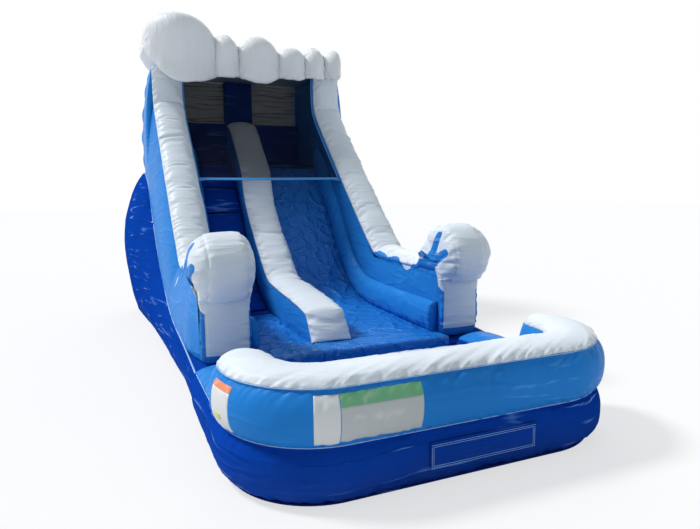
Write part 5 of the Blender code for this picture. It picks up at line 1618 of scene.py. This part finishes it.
# Points of a grid at rows and columns that need not be whole
def onGrid(grid, rows, columns):
    rl, cl = np.floor(rows).astype(int), np.floor(columns).astype(int)
    rt, ct = (rows - rl)[:, :, None], (columns - cl)[:, :, None]
    rh, ch = np.minimum(rl + 1, grid.shape[0] - 1), np.minimum(cl + 1, grid.shape[1] - 1)
    low = grid[rl, cl] * (1 - rt) + grid[rh, cl] * rt
    high = grid[rl, ch] * (1 - rt) + grid[rh, ch] * rt
    return low * (1 - ct) + high * ct


def makePatches():
    for name, colour in patchColours.items():
        makePatchFinish(name, colour)
    line = lengths(rimLine)
    key = np.arange(len(line))
    for name, patch in patches.items():
        low, high = patch["run"]
        run = np.linspace(low, high, max(int((high - low) / 0.008), 6))
        up = np.linspace(*patch["height"], 24)
        rows = np.interp(run, line, key)[:, None] + np.zeros(len(up))
        columns = np.interp(up, bandHeights, np.arange(len(bandHeights))) + np.zeros((len(run), 1))
        face = onGrid(bandGrid, rows, columns)
        out = gridNormals(face, False)
        if (out * (face - (0.0, -3.2, 0.6))).sum() < 0:
            out = -out
        lift = np.full(face.shape[:2], 0.0004)
        lift[1:-1, 1:-1] = 0.0016
        lift += patch.get("lift", 0.0)
        addPiece(name, sheetGrid(face + out * lift[:, :, None], face - out * 0.0012), patch["finish"])
    rowCount, columnCount = rimStrip["points"]
    rows = np.interp(np.linspace(*rimStrip["run"], rowCount), line, key)[:, None] + np.zeros(columnCount)
    columns = np.linspace(*rimStrip["across"], columnCount) * pool["rimPoints"] + np.zeros((rowCount, 1))
    face = onGrid(rimGrid, rows, columns)
    out = upNormals(face)
    addPiece("rimStripPatch", sheetGrid(face + out * 0.0014, face - out * 0.001), "rimStrip")


makePatches()
print("stage: patches")


# Steel for the rings and the zip slider
def makeSteel():
    material, tree, place = newMaterial("zincSteel")
    scuff = node(tree, "ShaderNodeTexNoise", {"Vector": place, "Scale": 90.0, "Detail": 4.0})["Fac"]
    setShader(tree, {
        "Base Color": mixColour(tree, scuff, (0.46, 0.47, 0.49), (0.66, 0.67, 0.69)),
        "Roughness": mathNode(tree, "MULTIPLY_ADD", scuff, 0.25, 0.22), "Metallic": 1.0})
    return material


steel = makeSteel()
for name in ("anchor_ring_left", "anchor_ring_right", "drain_zip_slider"):
    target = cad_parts[name]
    if target.material_slots:
        target.material_slots[0].material = steel
    else:
        target.data.materials.append(steel)

# Stage: pale floor, white surroundings, soft lamps and the camera
stage = {
    "camera": (-2.407, -7.618, 2.188), "forward": (0.3867, 0.9127, -0.1324), "roll": -0.51, "lens": 29.73,
    "floor": (0.80, 0.80, 0.80, 1.0), "floorHalf": 60.0, "floorGlow": 0.66, "worldLight": 0.47,
    "sky": (0.80, 0.91, 1.0, 1.0), "white": (1.0, 1.0, 1.0, 1.0), "lampDistance": 12,
}
lamps = {
    "keySun": {"from": (-0.53, 0.37, 0.76), "strength": 2.85, "angle": 12},
    "backSun": {"from": (0.30, 0.75, 0.60), "strength": 0.45, "angle": 35},
}


def makeFloorPlane():
    mesh = bpy.data.meshes.new("paleFloor")
    half = stage["floorHalf"]
    corners = [(-half, -half, 0), (half, -half, 0), (half, half, 0), (-half, half, 0)]
    mesh.from_pydata(corners, [], [(0, 1, 2, 3)])
    floor = bpy.data.objects.new("paleFloor", mesh)
    floor.location.z = -0.0005
    bpy.context.scene.collection.objects.link(floor)
    material = bpy.data.materials.new("paleGround")
    material.use_nodes = True
    tree = material.node_tree
    tree.nodes.clear()
    seen = node(tree, "ShaderNodeLightPath")["Is Camera Ray"]
    share = mathNode(tree, "MULTIPLY", seen, stage["floorGlow"])
    diffuse = node(tree, "ShaderNodeBsdfDiffuse", {"Color": stage["floor"]})[0]
    glow = node(tree, "ShaderNodeEmission")[0]
    mix = node(tree, "ShaderNodeMixShader", {0: share, 1: diffuse, 2: glow})[0]
    node(tree, "ShaderNodeOutputMaterial", {"Surface": mix})
    mesh.materials.append(material)


# Pale blue light on the slide, plain white to the camera and in reflections
def makeWorld():
    world = bpy.data.worlds.new("softStudio")
    bpy.context.scene.world = world
    world.use_nodes = True
    tree = world.node_tree
    tree.nodes.clear()
    path = node(tree, "ShaderNodeLightPath")
    seen = mathNode(tree, "MAXIMUM", path["Is Camera Ray"], path["Is Transmission Ray"])
    seen = mathNode(tree, "MAXIMUM", seen, path["Is Glossy Ray"])
    light = node(tree, "ShaderNodeBackground", {"Color": stage["sky"], "Strength": stage["worldLight"]})[0]
    white = node(tree, "ShaderNodeBackground", {"Color": stage["white"]})[0]
    mix = node(tree, "ShaderNodeMixShader", {0: seen, 1: light, 2: white})[0]
    node(tree, "ShaderNodeOutputWorld", {"Surface": mix})


def makeLamps():
    for name, lamp in lamps.items():
        data = bpy.data.lights.new(name, "SUN")
        data.energy, data.angle = lamp["strength"], radians(lamp["angle"])
        made = bpy.data.objects.new(name, data)
        made.location = Vector(lamp["from"]) * stage["lampDistance"]
        made.rotation_euler = (-Vector(lamp["from"])).to_track_quat("-Z", "Y").to_euler()
        bpy.context.scene.collection.objects.link(made)


def makeCamera():
    data = bpy.data.cameras.new("photoCamera")
    data.lens, data.sensor_width, data.clip_end = stage["lens"], 36.0, 200.0
    camera = bpy.data.objects.new("photoCamera", data)
    bpy.context.scene.collection.objects.link(camera)
    forward = Vector(stage["forward"]).normalized()
    right = forward.cross(Vector((0, 0, 1))).normalized()
    up = right.cross(forward)
    roll = radians(stage["roll"])
    turnedRight = right * cos(roll) + up * sin(roll)
    turnedUp = -right * sin(roll) + up * cos(roll)
    matrix = Matrix((turnedRight, turnedUp, -forward)).transposed().to_4x4()
    matrix.translation = stage["camera"]
    camera.matrix_world = matrix
    bpy.context.scene.camera = camera


makeFloorPlane()
makeWorld()
makeLamps()
makeCamera()
bpy.context.scene.view_settings.view_transform = "Standard"
print("stage: lamps and camera")
